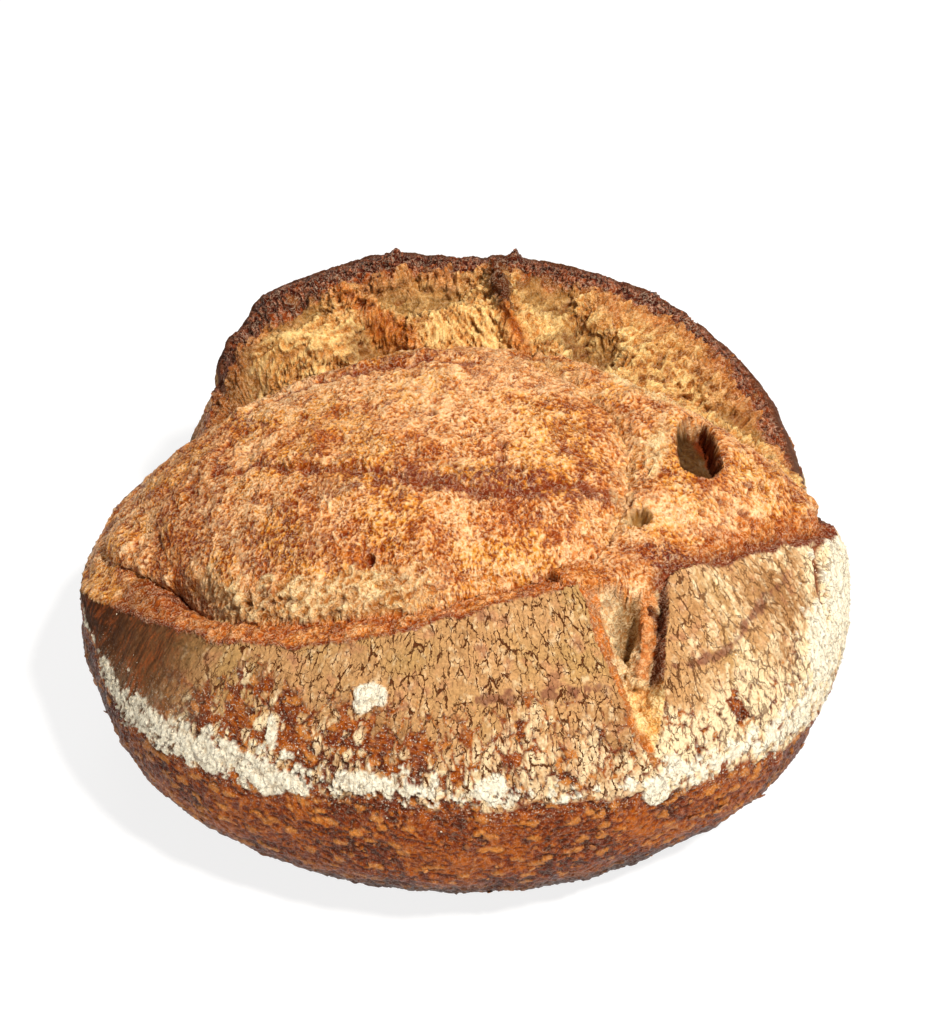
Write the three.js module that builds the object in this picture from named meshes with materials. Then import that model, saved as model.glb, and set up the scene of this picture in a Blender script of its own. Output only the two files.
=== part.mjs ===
// Round sourdough loaf with a raised ear, one closed solid.
// Millimetres, +Z up, the origin at the middle of the flat base, the torn front towards -Y.
//
// The top is drawn on a "spread plane": the crust opened out flat round its highest point.
// A point (u, v) there lies in the direction atan2(v, u), and its distance from the middle
// says how far down the loaf it is, QUARTER being the widest line.
import * as THREE from 'three';
import { mergeVertices } from 'three/addons/utils/BufferGeometryUtils.js';

// Body
const HALF_LENGTH = 120;
const FRONT_DEPTH = 104;
const BACK_DEPTH = 114;
const WAIST = 44; // height of the widest line
const TOP_RISE = 74; // plain top above the waist
const UNDER_DROP = 62; // plain underside below the waist, cut off at the base
const TOP_POWER = 2.15; // roundness of the upper half, 2 is an ellipse
const LEFT_LEAN = 0.42; // how much slacker the left shoulder is
const UNDER_POWER = 2.1;
const QUARTER = 120;
const MIDDLE = [-0.3, 8.6]; // middle of the finished loaf's box, which becomes the origin

// Mesh
const MESH_DETAIL = 23; // 20 * (detail + 1)^2 triangles
const TOP_SHARE = 0.7; // below 1 moves triangles from the underside to the top
const SNAP = 1.4; // a vertex this close to an edge line goes onto it
const CURVE_STEPS = 10; // steps between two points of an edge line

// Where relief leans from straight up to straight out, in degrees from the top
const LEAN_START = 55;
const LEAN_END = 80;
const FADE_START = 95;
const FADE_END = 120;

// Crust round the opening
const LIP_FLARE = 1.6; // how far it curls up at the lips, and how far that reaches
const LIP_REACH = 9;
const SHOULDER_FLARE = 2; // added towards the right lip's outer end
const CLEFT_FLARE = 1.2;
const CLEFT_REACH = 7;
const EAR_BACK = 34; // reach of the slope behind the ear's rim, and at the ear's two ends
const EAR_BACK_ENDS = 9;
const LIP_EDGE = 4; // width of the step down from a lip

// Skin inside the opening: foot and height of a swelling, and the width of its rounded edge
const DOME = { foot: -5, height: 7.5, edge: 30 };
const SIDE = { foot: -4, height: 8, edge: 20 };
const PUFF_POWER = 0.75; // steepness at the foot, 0.5 is a round edge
const TROUGH_SLACK = 1.3; // the dome rises this much faster from the trough
const BAND = { drop: 3.5, width: 9 }; // strip of skin behind the front lip
const GROOVE_DROP = 2;
const GROOVE_WIDTH = 4;
const FRONT_STRIP = 22; // skin nearer to the lip than this belongs to the strip
const STRIP_END = 0.985;

// Valley in front of the ear, and the cleft between the two front plates
const VALLEY_FOOT = -10;
const VALLEY_FALL = 5;
const VALLEY_REACH = 12;
const CLEFT_DEPTH = 15;
const CLEFT_WALL = 9;
const TORN_BEND = 0.9; // below 1 makes the torn face hollow towards the rim

// Edge lines on the spread plane: [u, v]
const LIP = [[-84, 46], [-97, 41], [-108, 28], [-113, 10], [-110, -8], [-101, -24], [-88, -40],
  [-74, -53], [-54, -64], [-32, -69], [-9, -68], [16, -62], [31, -57]];
const CLEFT_LEFT = [[31, -57], [35, -68], [40, -77], [46, -85], [53, -91]];
const CLEFT_RIGHT = [[53, -91], [52, -81], [53, -73], [53, -62], [53, -47]];
const RIGHT_LIP = [[53, -47], [67, -37], [79, -25], [94, -8], [101, 4]];
const VALLEY = [[-84, 40], [-72, 44], [-58, 48], [-30, 53], [0, 54], [26, 50], [48, 40], [66, 29],
  [82, 18], [98, 8]];
const GROOVE = [[-84, 40], [-95, 33], [-102, 22], [-105, 8], [-101, -8], [-92, -22], [-80, -36],
  [-71, -45], [-54, -55], [-34, -59], [-12, -60], [8, -56], [24, -50]];
const TROUGH = [[24, -50], [38, -42], [44, -26], [47, -6], [44, 10], [34, 26], [24, 40], [20, 51]];

// Rim of the ear: [u, v, rise above the plain top]
const CREST = [[101, 14, 0], [94, 25, 3], [87, 36, 8], [76, 51, 14], [63, 62, 18], [54, 66, 20],
  [39, 72, 22], [15, 77, 24], [-4, 78, 24], [-21, 77, 27], [-35, 74, 26], [-53, 68, 24],
  [-60, 66, 19], [-66, 63, 14], [-70, 60, 8], [-75, 57, 3], [-84, 46, 0]];

// Torn dough on the ear's face: ridges along lines, in millimetres
const RIDGES = [
  { line: [[-38, 68], [-28, 64], [-20, 62], [-12, 55]], height: 4.5, width: 4 },
  { line: [[9, 75], [13, 66], [17, 58], [24, 47]], height: 5, width: 4 },
  { line: [[-14, 59], [-4, 61], [6, 60], [16, 57], [27, 50], [40, 43]], height: 3.5, width: 4 },
  { line: [[-68, 57], [-55, 56], [-43, 56], [-33, 57]], height: 5, width: 4.5 },
];

// Hollows and lumps: centre, half sizes, turn in degrees, height (below 0 is a hollow)
const SWELLINGS = [
  { name: 'pocket over the left ridge', centre: [-14, 68], half: [15, 4.5], turn: 0, height: -5 },
  { name: 'pocket under the left ridge', centre: [-26, 58], half: [9, 4.5], turn: 10, height: -6 },
  { name: 'pocket by the right ridge', centre: [25, 67], half: [9, 5], turn: -15, height: -5 },
  { name: 'pocket under the right rim', centre: [37, 54], half: [11, 5], turn: -35, height: -7 },
  { name: 'hollow at the ear end', centre: [-69, 51], half: [9, 5], turn: 15, height: -8 },
  { name: 'hollow low on the right', centre: [66, 38], half: [10, 5], turn: -35, height: -5 },
  { name: 'slot in the right skin', centre: [64, -5], half: [6.5, 15], turn: 0, height: -10 },
  { name: 'hole above the cleft', centre: [47, -36], half: [5, 5.5], turn: 0, height: -6 },
  { name: 'lump above the cleft', centre: [58, -45], half: [8, 5], turn: 15, height: 4.5 },
  { name: 'hole in the cleft', centre: [43, -60], half: [5, 7], turn: 0, height: -5 },
  { name: 'recess behind the front lip', centre: [-75, -42], half: [15, 5], turn: -36, height: -4 },
  { name: 'flake on the right shoulder', centre: [114, -14], half: [12, 20], turn: 20, height: 2 },
  { name: 'notch at the ear start', centre: [105, 12], half: [10, 9], turn: 0, height: -6 },
  { name: 'slack left shoulder', centre: [-86, 54], half: [17, 12], turn: -45, height: -5 },
];

// Slow unevenness of the whole crust: wave lengths and heights
const WAVES = [
  { across: 17, along: 23, shift: 0.6, height: 0.9 },
  { across: 31, along: 13, shift: 2.1, height: 0.7 },
];

function curve(points) {
  const knots = points.map(([u, v, rise = 0]) => new THREE.Vector3(u, v, rise));
  const smooth = new THREE.CatmullRomCurve3(knots, false, 'catmullrom', 0.5);
  return smooth.getPoints(CURVE_STEPS * (points.length - 1));
}

const lines = {
  lip: curve(LIP),
  cleft: [...curve(CLEFT_LEFT), ...curve(CLEFT_RIGHT).slice(1)],
  rightLip: curve(RIGHT_LIP),
  crest: curve(CREST),
  valley: curve(VALLEY),
  groove: curve(GROOVE),
  trough: curve(TROUGH),
};
const ridges = RIDGES.map((ridge) => ({ ...ridge, path: curve(ridge.line) }));

// The nearest point of a line, its distance, and how far along the line it is (0 to 1)
function nearest(u, v, line) {
  const best = { distance: Infinity, along: 0, u: 0, v: 0, rise: 0 };
  let run = 0;
  for (let i = 1; i < line.length; i += 1) {
    const a = line[i - 1];
    const du = line[i].x - a.x;
    const dv = line[i].y - a.y;
    const length = Math.max(Math.hypot(du, dv), 1e-6);
    const share = THREE.MathUtils.clamp(((u - a.x) * du + (v - a.y) * dv) / length ** 2, 0, 1);
    const distance = Math.hypot(u - a.x - share * du, v - a.y - share * dv);
    if (distance < best.distance) {
      best.distance = distance;
      best.along = run + share * length;
      best.u = a.x + share * du;
      best.v = a.y + share * dv;
      best.rise = a.z + share * (line[i].z - a.z);
    }
    run += length;
  }
  best.along /= run;
  return best;
}

function inside(u, v, outline) {
  let odd = false;
  for (let i = 0, j = outline.length - 1; i < outline.length; j = i, i += 1) {
    const a = outline[i];
    const b = outline[j];
    if (a.y > v !== b.y > v && u < ((b.x - a.x) * (v - a.y)) / (b.y - a.y) + a.x) odd = !odd;
  }
  return odd;
}

// The valley from its left end to where the trough meets it
const meeting = nearest(...TROUGH.at(-1), lines.valley).u;
const leftValley = lines.valley.filter((point) => point.x <= meeting);

// Areas of the top, as closed outlines
const areas = {
  opening: [...lines.lip, ...lines.cleft, ...lines.rightLip, ...lines.crest],
  cleft: lines.cleft,
  torn: [...lines.valley, ...lines.crest],
  dome: [...lines.groove, ...lines.trough, ...leftValley.reverse()],
};

const { smoothstep } = THREE.MathUtils;

// Rounded edge of a swollen skin: 0 at its foot, 1 from the given width inwards
function puff(distance, width) {
  return (1 - (1 - Math.min(distance / width, 1)) ** 2) ** PUFF_POWER;
}

// Distance from the centre of a swelling, 1 at its half sizes
function spread(u, v, { centre, half, turn }) {
  const angle = THREE.MathUtils.degToRad(turn);
  const du = u - centre[0];
  const dv = v - centre[1];
  const cos = Math.cos(angle);
  const sin = Math.sin(angle);
  return Math.hypot((du * cos + dv * sin) / half[0], (dv * cos - du * sin) / half[1]);
}

// How much of its depth the valley has, 1 along most of it and 0 at its two ends
function valleyDepth(near) {
  return smoothstep(near.valley.along, 0, 0.12) * (1 - smoothstep(near.valley.along, 0.85, 1));
}

// How far the crust curls up at the lips
function lipFlare(near) {
  if (near.lip.distance < near.rightLip.distance) return LIP_FLARE * smoothstep(near.lip.along, 0.06, 0.22);
  return LIP_FLARE + SHOULDER_FLARE * smoothstep(near.rightLip.along, 0.6, 1);
}

function bell(distance, reach, power = 2) {
  return Math.exp(-((distance / reach) ** power));
}

// Floured crust outside the opening, raised along its lips and behind the ear's rim
function plateHeight(near) {
  const edge = Math.min(near.lip.distance, near.rightLip.distance);
  const middle = smoothstep(near.crest.along, 0, 0.2) * (1 - smoothstep(near.crest.along, 0.8, 0.95));
  const back = THREE.MathUtils.lerp(EAR_BACK_ENDS, EAR_BACK, middle);
  return lipFlare(near) * bell(edge, LIP_REACH)
    + CLEFT_FLARE * bell(near.cleft.distance, CLEFT_REACH)
    + near.crest.rise * bell(near.crest.distance, back, 1.6);
}

// Skin inside the opening: a band behind the front lip, the dome and the smaller right swelling
function skinHeight(u, v, near) {
  const fall = VALLEY_FALL * valleyDepth(near) * bell(near.valley.distance, VALLEY_REACH);
  if (inside(u, v, areas.dome)) {
    const foot = Math.min(near.groove.distance, near.trough.distance * TROUGH_SLACK, near.valley.distance);
    return DOME.foot - fall + DOME.height * puff(foot, DOME.edge);
  }
  if (near.lip.distance < FRONT_STRIP && near.lip.along < STRIP_END) {
    return -BAND.drop * smoothstep(near.lip.distance, 0, BAND.width)
      - GROOVE_DROP * bell(near.groove.distance, GROOVE_WIDTH);
  }
  const foot = Math.min(near.trough.distance, near.rightLip.distance, near.valley.distance);
  return SIDE.foot - fall + SIDE.height * puff(foot, SIDE.edge);
}

// Torn face from the valley up to the rim
function tornHeight(u, v, near) {
  const share = near.valley.distance / Math.max(near.valley.distance + near.crest.distance, 1e-6);
  const foot = VALLEY_FOOT * valleyDepth(near);
  const torn = ridges.reduce(
    (sum, ridge) => sum + ridge.height * bell(nearest(u, v, ridge.path).distance, ridge.width), 0);
  return foot + (near.crest.rise - foot) * share ** TORN_BEND + torn * Math.sqrt(Math.sin(Math.PI * share));
}

// Height of the finished crust over the plain body
function relief(u, v) {
  const near = Object.fromEntries(Object.entries(lines).map(([name, line]) => [name, nearest(u, v, line)]));
  const edge = Math.min(near.lip.distance, near.rightLip.distance);
  let height = plateHeight(near);
  if (inside(u, v, areas.cleft)) {
    height = CLEFT_FLARE - CLEFT_DEPTH * smoothstep(near.cleft.distance, 0, CLEFT_WALL);
  } else if (inside(u, v, areas.torn)) {
    height = tornHeight(u, v, near);
  } else if (inside(u, v, areas.opening)) {
    height = THREE.MathUtils.lerp(lipFlare(near), skinHeight(u, v, near), smoothstep(edge, 0, LIP_EDGE));
  }
  for (const swelling of SWELLINGS) {
    height += swelling.height * bell(spread(u, v, swelling), 1, 3);
  }
  for (const wave of WAVES) {
    height += wave.height * Math.sin(u / wave.across + wave.shift) * Math.sin(v / wave.along - wave.shift);
  }
  return height;
}

// Distance from the middle of the body to its plain surface
function bodyRadius(polar, azimuth) {
  const depth = Math.sin(azimuth) < 0 ? FRONT_DEPTH : BACK_DEPTH;
  const level = Math.sin(polar) * Math.hypot(Math.cos(azimuth) / HALF_LENGTH, Math.sin(azimuth) / depth);
  const top = Math.cos(polar) > 0;
  const power = top ? TOP_POWER - LEFT_LEAN * Math.max(-Math.cos(azimuth), 0) ** 2 : UNDER_POWER;
  const upright = Math.abs(Math.cos(polar)) / (top ? TOP_RISE : UNDER_DROP);
  return (level ** power + upright ** power) ** (-1 / power);
}

// The point of the crust that belongs to a point of the spread plane
function crustPoint(u, v) {
  const polar = (Math.hypot(u, v) / QUARTER) * (Math.PI / 2);
  const azimuth = Math.atan2(v, u);
  const outward = new THREE.Vector3(
    Math.sin(polar) * Math.cos(azimuth), Math.sin(polar) * Math.sin(azimuth), Math.cos(polar));
  const point = outward.clone().multiplyScalar(bodyRadius(polar, azimuth));
  const degrees = THREE.MathUtils.radToDeg(polar);
  const lean = smoothstep(degrees, LEAN_START, LEAN_END);
  const lift = new THREE.Vector3(0, 0, 1).lerp(outward, lean).normalize();
  const fade = 1 - smoothstep(degrees, FADE_START, FADE_END);
  if (fade > 0) point.addScaledVector(lift, relief(u, v) * fade);
  if (point.z < -WAIST) point.multiplyScalar(-WAIST / point.z);
  point.z = Math.max(point.z + WAIST, 0);
  return point;
}

// A sphere of even triangles whose vertices are moved onto the crust
function crustGeometry() {
  const sphere = new THREE.IcosahedronGeometry(1, MESH_DETAIL);
  sphere.deleteAttribute('normal');
  sphere.deleteAttribute('uv');
  const geometry = mergeVertices(sphere, 1e-5);
  const position = geometry.getAttribute('position');
  for (let i = 0; i < position.count; i += 1) {
    const x = position.getX(i);
    const y = position.getY(i);
    const polar = Math.acos(THREE.MathUtils.clamp(position.getZ(i), -1, 1));
    const reach = (QUARTER * polar * (TOP_SHARE + ((1 - TOP_SHARE) * polar) / Math.PI)) / (Math.PI / 2);
    const azimuth = Math.atan2(y, x);
    let u = reach * Math.cos(azimuth);
    let v = reach * Math.sin(azimuth);
    const closest = Object.values(lines).map((line) => nearest(u, v, line))
      .reduce((best, next) => (next.distance < best.distance ? next : best));
    if (closest.distance < SNAP) ({ u, v } = closest);
    const point = crustPoint(u, v);
    position.setXYZ(i, point.x, point.y, point.z);
  }
  geometry.translate(-MIDDLE[0], -MIDDLE[1], 0);
  geometry.computeVertexNormals();
  return geometry;
}

const crust = new THREE.MeshStandardMaterial({ color: 0xb0733a, roughness: 0.7, metalness: 0 });
const loaf = new THREE.Mesh(crustGeometry(), crust);
loaf.name = 'loaf';

const group = new THREE.Group();
group.add(loaf);

export default group;
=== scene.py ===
import math
from itertools import product
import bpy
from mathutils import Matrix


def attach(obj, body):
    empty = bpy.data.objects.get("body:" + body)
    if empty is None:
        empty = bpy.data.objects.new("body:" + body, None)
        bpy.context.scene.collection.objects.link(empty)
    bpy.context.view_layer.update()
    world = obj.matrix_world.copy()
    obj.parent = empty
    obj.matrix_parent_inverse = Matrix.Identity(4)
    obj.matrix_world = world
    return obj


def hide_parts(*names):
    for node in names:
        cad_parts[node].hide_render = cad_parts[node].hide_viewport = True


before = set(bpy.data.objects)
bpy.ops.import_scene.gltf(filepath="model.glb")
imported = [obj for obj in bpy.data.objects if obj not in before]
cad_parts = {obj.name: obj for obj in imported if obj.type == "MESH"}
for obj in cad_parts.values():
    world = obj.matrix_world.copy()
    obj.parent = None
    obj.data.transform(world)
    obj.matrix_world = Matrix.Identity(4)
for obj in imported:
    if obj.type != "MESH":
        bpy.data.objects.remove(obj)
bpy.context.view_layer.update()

from types import SimpleNamespace

import bpy
import numpy as np

# A round sourdough loaf. Its form is worked out in millimetres, as the CAD source does it, on a "spread
# plane": the crust opened out flat round its highest point. A point (u, v) there lies in the direction
# atan2(v, u), and its distance from the middle says how far down the loaf it is.
MM = 0.001

# Body
HALF_LENGTH = 120.0
FRONT_DEPTH = 104.0
BACK_DEPTH = 114.0
WAIST = 44.0
TOP_RISE = 74.0
UNDER_DROP = 62.0
TOP_POWER = 2.15
LEFT_LEAN = 0.42
UNDER_POWER = 2.1
QUARTER = 120.0
MIDDLE = (-0.3, 8.6)

# Where relief leans from straight up to straight out, and where it ends, in degrees from the top
LEAN = (55.0, 80.0)
FADE = (95.0, 120.0)
FINE_FADE = (118.0, 140.0)

# Crust round the opening
LIP_FLARE = 1.6
LIP_REACH = 9.0
SHOULDER_FLARE = 2.0
CLEFT_FLARE = 1.2
CLEFT_REACH = 7.0
EAR_BACK = 34.0
EAR_BACK_ENDS = 9.0
EAR_MIDDLE = 5.0
LIP_EDGE = 2.5

# Skin inside the opening
DOME_FOOT = -5.0
DOME_HEIGHT = 7.5
DOME_EDGE = 30.0
SIDE_FOOT = -4.0
SIDE_HEIGHT = 8.0
SIDE_EDGE = 20.0
PUFF_POWER = 0.62
TROUGH_SLACK = 1.3
BAND_DROP = 3.5
BAND_WIDTH = 9.0
GROOVE_DROP = 2.8
GROOVE_WIDTH = 3.0
FRONT_STRIP = 22.0
STRIP_END = 0.985

# Valley in front of the ear, and the cleft between the two front plates
VALLEY_FOOT = -10.0
VALLEY_FALL = 5.0
VALLEY_REACH = 12.0
CLEFT_DEPTH = 10.0
CLEFT_SLOPE = 7.0
CLEFT_WALL = 2.4
CLEFT_HEAD = 4.5
CLEFT_RIB_HEIGHT = 7.0
CLEFT_RIB_REACH = 2.7
TORN_BEND = 0.9

# Edge lines on the spread plane: (u, v), and for the crest also its rise over the plain top
LIP = [(-84, 46), (-97, 41), (-108, 28), (-113, 10), (-110, -8), (-101, -24), (-88, -40), (-74, -53),
       (-54, -64), (-32, -69), (-9, -68), (16, -62), (31, -57)]
CLEFT_LEFT = [(31, -57), (35, -68), (40, -77), (46, -85), (53, -91)]
CLEFT_RIGHT = [(53, -91), (52, -81), (53, -73), (53, -62), (53.5, -50)]
RIGHT_LIP = [(53.5, -50), (67.5, -39), (79.5, -27), (95, -11), (101, 3)]
VALLEY = [(-84, 40), (-72, 44), (-58, 48), (-30, 53), (0, 54), (26, 50), (48, 40), (66, 29), (82, 18),
          (98, 8)]
GROOVE = [(-84, 40), (-95, 33), (-102, 22), (-105, 8), (-101, -8), (-92, -22), (-80, -36), (-71, -45),
          (-54, -55), (-34, -59), (-12, -60), (8, -56), (24, -50)]
TROUGH = [(24, -50), (38, -42), (44, -26), (47, -6), (44, 10), (34, 26), (24, 40), (20, 51)]
CREST = [(99, 14, 0), (91.5, 25, 2), (85, 36, 7), (75, 51, 14), (63, 62, 18), (54, 66, 20), (39, 72, 22),
         (15, 77, 24), (-4, 78, 24), (-21, 77, 27), (-35, 74, 26), (-53, 68, 24), (-60, 66, 19),
         (-66, 63, 14), (-70, 60, 8), (-75, 57, 3), (-84, 46, 0)]
LINES = dict(lip=LIP, cleft_left=CLEFT_LEFT, cleft_right=CLEFT_RIGHT, right=RIGHT_LIP, crest=CREST,
             valley=VALLEY, groove=GROOVE, trough=TROUGH)

# Lengths of the two lips, and what keeps their streaks apart
LIP_LENGTH = 260
RIGHT_LIP_LENGTH = 72
LIPS_APART = 400

# Torn dough on the ear's face: line, height, width
LEFT_RIB = [(-37, 67), (-27, 62.5), (-20, 60), (-14, 54)]
RIGHT_RIB = [(9, 74), (10.5, 67), (13, 60), (17, 54), (22, 48)]
RIDGES = [
    (LEFT_RIB, 5.5, 2.2),
    (RIGHT_RIB, 6.5, 1.9),
    ([(-14, 59), (-4, 61), (6, 60), (16, 57), (27, 50), (40, 43)], 3.5, 3.2),
    ([(-68, 57), (-55, 56), (-43, 56), (-33, 57)], 5.5, 3.4),
    ([(-45, 62), (-38, 61), (-31, 61)], 2.5, 2.4),
]

# Hollows and lumps: centre, half sizes, turn in degrees, height, steepness
SWELLINGS = {
    "pocket over the left ridge": ((-14, 68), (15, 4.5), 0, -6.0, 5),
    "pocket under the left ridge": ((-26, 58), (9, 4.5), 10, -7.0, 5),
    "pocket by the right ridge": ((25, 67), (9, 5), -15, -5.5, 5),
    "pocket under the right rim": ((37, 54), (11, 5), -35, -7.5, 5),
    "pocket on the left": ((-50, 64), (8, 3.2), 10, -4.0, 4),
    "pocket far on the right": ((80, 32), (9, 3.5), -40, -4.5, 4),
    "hollow at the ear end": ((-69, 51), (9, 5), 15, -9.0, 3),
    "hollow low on the right": ((66, 38), (10, 5), -35, -5.0, 3),
    "lump above the cleft": ((58, -45), (8, 5), 15, 4.0, 3),
    "hole in the cleft": ((43.8, -57.5), (3.2, 7.0), -8, -7.5, 4),
    "filled end of the groove": ((-98, -11), (22, 4.5), -64, 3.2, 4),
    "recess behind the front lip": ((-75, -40), (15, 3.6), -40, -5.2, 5),
    "rolled left edge of the dome": ((-104, -2), (7.5, 24), 0, 3.0, 4),
    "flake on the right shoulder": ((112, -14), (11, 20), 20, 1.5, 3),
    "notch at the ear start": ((105, 16), (10, 13), 10, -8.0, 3),
    "slack left shoulder": ((-90, 48), (20, 12), -48, -8.0, 3),
}

# Holes with steep walls: outline, depth, width of the wall
SLOT = [(59, 6), (63, 11), (67, 13), (69.5, 5), (70, -4), (69, -12), (65, -15), (60, -14), (58, -5)]
HOLE = [(45, -28), (49, -28), (51.5, -31), (51, -34), (48, -36), (44.5, -35), (43.5, -31)]
HOLES = [(SLOT, 9.0, 2.0), (HOLE, 7.0, 1.6)]

# Long waves of the whole crust: reach across, reach in depth, shift, height
WAVES = [(17.0, 23.0, 0.6, 0.9), (31.0, 13.0, 2.1, 0.7)]

# In the cleft: the browned rib, the deep hole and the small one
CLEFT_RIB = [(48.5, -51), (48.7, -60), (48.2, -66), (47.5, -70)]
CLEFT_HOLE = ((43.8, -57.5), (3.4, 7.5), -8)
CLEFT_PORE = (50.0, -55.0)

# Single patches: centre, half sizes, turn, share. They are the painted shade of the recess behind the front
# lip, the skin over the left shoulder, bare crumb on the skin, the lump above the cleft and the painted shade
# at the ear's dark end.
RECESS_SHADE = ((-77, -38), (14, 2.6), -40, 0.75)
SKIN_SHOULDER = ((-88, 50), (22, 15), -50, 1.0)
CRUMB_STRIPS = [((49, 27), (16, 4), -45, 1.0), ((54, -6), (12, 2.8), 82, 1.0)]
JUNCTION = ((52, -43.5), (9, 4.5), 10, 1.0)
EAR_END_SHADE = ((-72, 53), (13, 6), 15, 1.0)

# Pulled fibres between the ribs of the ear and their turns, calmer crumb, and the stretch of the crumb
FIBRE_SHEETS = [((4, 57), (19, 8), -12), ((-52, 56.5), (18, 4.5), 5)]
FIBRE_TURNS = (6, -38)
CALM_CRUMB = ((-69, 56), (13, 12), 0)
CRUMB_PULL = np.array([[0.55, -0.10, -0.15], [-0.10, 0.95, 0.05], [-0.15, 0.05, 0.85]])

# Burnt lumps on the rim: place, reach, height. The rim's own crumbs sink in a little.
RIM_SINK = 1.5
RIM_LUMPS = [((-20, 78), 2.4, 2.6), ((15, 78), 2.0, 4.0), ((53, 67), 3.0, 2.6), ((-52, 69), 3.0, 0.8),
             ((39, 73), 2.5, 1.0), ((-4, 79), 2.5, 0.8), ((9.5, 72), 2.2, 3.4)]

# Turn of the skin's stretch in degrees
SKIN_PULL = -15

# Creases in the baked skin: line, depth, width
CREASES = [
    ([(-72, 22), (-60, 27), (-49, 29), (-34, 30), (-13, 30), (5, 27)], 1.1, 1.3),
    ([(-82, 34), (-66, 37), (-48, 38), (-30, 40), (-12, 42)], 0.9, 1.2),
    ([(-71, -3), (-71, 12), (-66, 20), (-60, 12)], 0.9, 1.1),
    ([(-89, -6), (-84, -24), (-73, -37)], 0.6, 1.2),
    ([(-68, -4), (-59, -8), (-48, -16), (-30, -23), (-12, -29), (11, -33), (28, -26), (41, -24)],
     1.1, 1.3),
    ([(-59, -3), (-48, -11), (-30, -18), (-12, -24), (11, -28), (28, -21), (41, -19)], -0.9, 2.2),
    ([(-33, -48), (-17, -48), (2, -47), (21, -40)], 0.4, 1.2),
    ([(-70, 26), (-60, 31), (-49, 33), (-34, 34), (-13, 34), (5, 31)], -0.9, 2.0),
]

# Open pores in the skin: place and radius
PORES = [((-26, -50), 1.5), ((-10, 1), 1.7), ((11, -19), 1.8), ((16, -24), 1.5), ((-36, -56), 1.6),
         ((-14, -18), 1.1), ((-47, -24), 1.2), ((2, -9), 1.5), ((11, -13), 1.7), ((68, -20), 1.2),
         ((79, -9), 1.3), ((74, -20), 1.4), ((63, -27), 1.2), ((34, -27), 1.3), ((-62, 2), 1.6),
         ((30, 12), 1.0), ((-30, 12), 1.1)]

# Dark and pale patches of the skin: centre, half sizes, turn, share
SKIN_DARK = [((10, -28), (33, 5.5), 2, 1.0), ((-52, -38), (20, 6), -30, 0.55),
             ((-34, -26), (18, 4), 5, 0.6), ((-80, -12), (10, 16), 0, 0.5), ((-20, 33), (30, 3), 0, 0.5),
             ((34, -6), (8, 14), 0, 0.35)]
SKIN_LIGHT = [((-64, 3), (6, 5), 20, 0.9), ((20, 24), (22, 12), 0, 0.5), ((-5, 14), (26, 12), 0, 0.35),
              ((70, -24), (14, 7), 35, 0.8), ((56, -30), (8, 6), 0, 0.7), ((-50, 28), (14, 5), 0, 0.5),
              ((54, -7), (3, 11), -8, 1.0)]

# Purple-brown streaks over the plates: line and width
STREAKS = [([(4, -84), (20, -82), (29, -80), (38, -77)], 1.3),
           ([(54, -68), (62, -64), (71, -55), (77, -43), (84, -31)], 1.0),
           ([(55, -45), (61, -43), (66, -38)], 1.0)]

# Gap behind the pale flake on the right shoulder
FLAKE_LINE = [(96, -3), (93.5, -10), (93, -18), (95.5, -25), (101, -31)]

# Lower edge of the floured crust, width of the loose flakes above it, and width and cover of the flour.
# Each row is a direction in degrees from +u and its value.
FLOUR_EDGE = [(-180, 113), (-161, 114), (-152, 115), (-133, 111), (-122, 110), (-113, 107), (-104, 106),
              (-90, 106), (-78, 107), (-66, 108), (-59, 111), (-45, 114), (-30, 119), (-15, 122),
              (0, 121), (45, 116), (90, 113), (135, 116)]
FLAKE_WIDTH = [(-180, 8), (-150, 12), (-130, 22), (-110, 25), (-90, 23), (-75, 24), (-60, 24), (-45, 22),
               (-30, 22), (0, 24), (90, 24), (140, 14)]
FLAKE_LOSS = [(-180, 0.2), (-140, 0.8), (-125, 1.0), (-100, 0.8), (-86, 0.35), (-75, 0.15), (-60, 0.1),
              (-45, 0.25), (-30, 0.1), (0, 0.1), (90, 0.4), (140, 0.4)]
FLOUR_WIDTH = [(-180, 1), (-165, 2), (-155, 4), (-133, 5.5), (-122, 6), (-113, 3.5), (-104, 5.5), (-90, 6),
               (-76, 4), (-66, 3.5), (-58, 6), (-45, 7), (-30, 12), (-15, 22), (-5, 28), (20, 24),
               (90, 9), (140, 5), (165, 1)]
FLOUR_COVER = [(-180, 0.0), (-167, 0.15), (-160, 0.7), (-150, 0.95), (-122, 0.95), (-113, 0.45),
               (-104, 0.7), (-94, 0.5), (-84, 0.2), (-66, 0.25), (-58, 0.8), (-45, 0.55), (-30, 0.6),
               (-15, 0.9), (0, 0.95), (90, 0.6), (140, 0.5), (165, 0.1)]
FLOUR_CLUMPS = [((-25, -81), (5.0, 3.4), -8), ((-53, -83), (1.5, 4.2), -8), ((-57, -92), (8, 3.4), -30),
                ((-74, -80), (7, 3.6), -44), ((57, -95), (4.5, 4), 20), ((8, -101), (5, 2.2), 8),
                ((-30, -99), (7, 2.6), -12), ((104, -16), (6.5, 12), 15), ((99, -38), (8, 9), 20)]

# Spacing of the mesh by distance on the spread plane, how much closer points are along a ring, where the
# rings end before the middle of the base, and what is added to a ring's girth
SPACING = [(0, 0.48), (48, 0.46), (52, 0.39), (86, 0.39), (95, 0.45), (118, 0.50), (135, 0.7), (160, 1.4),
           (185, 4.0), (240, 6.0)]
ALONG_RING = 0.95
RINGS_END = 4.0
GIRTH_SPARE = 4.0

# The lines waver: reach and size
WAVY = [(7.0, 1.0), (2.6, 0.5)]

# Mean girth of the loaf for a turn of one radian, and the least share of a layer that is worked out
FLOW_RADIUS = 105
LEAST_SHARE = 0.003

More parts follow.
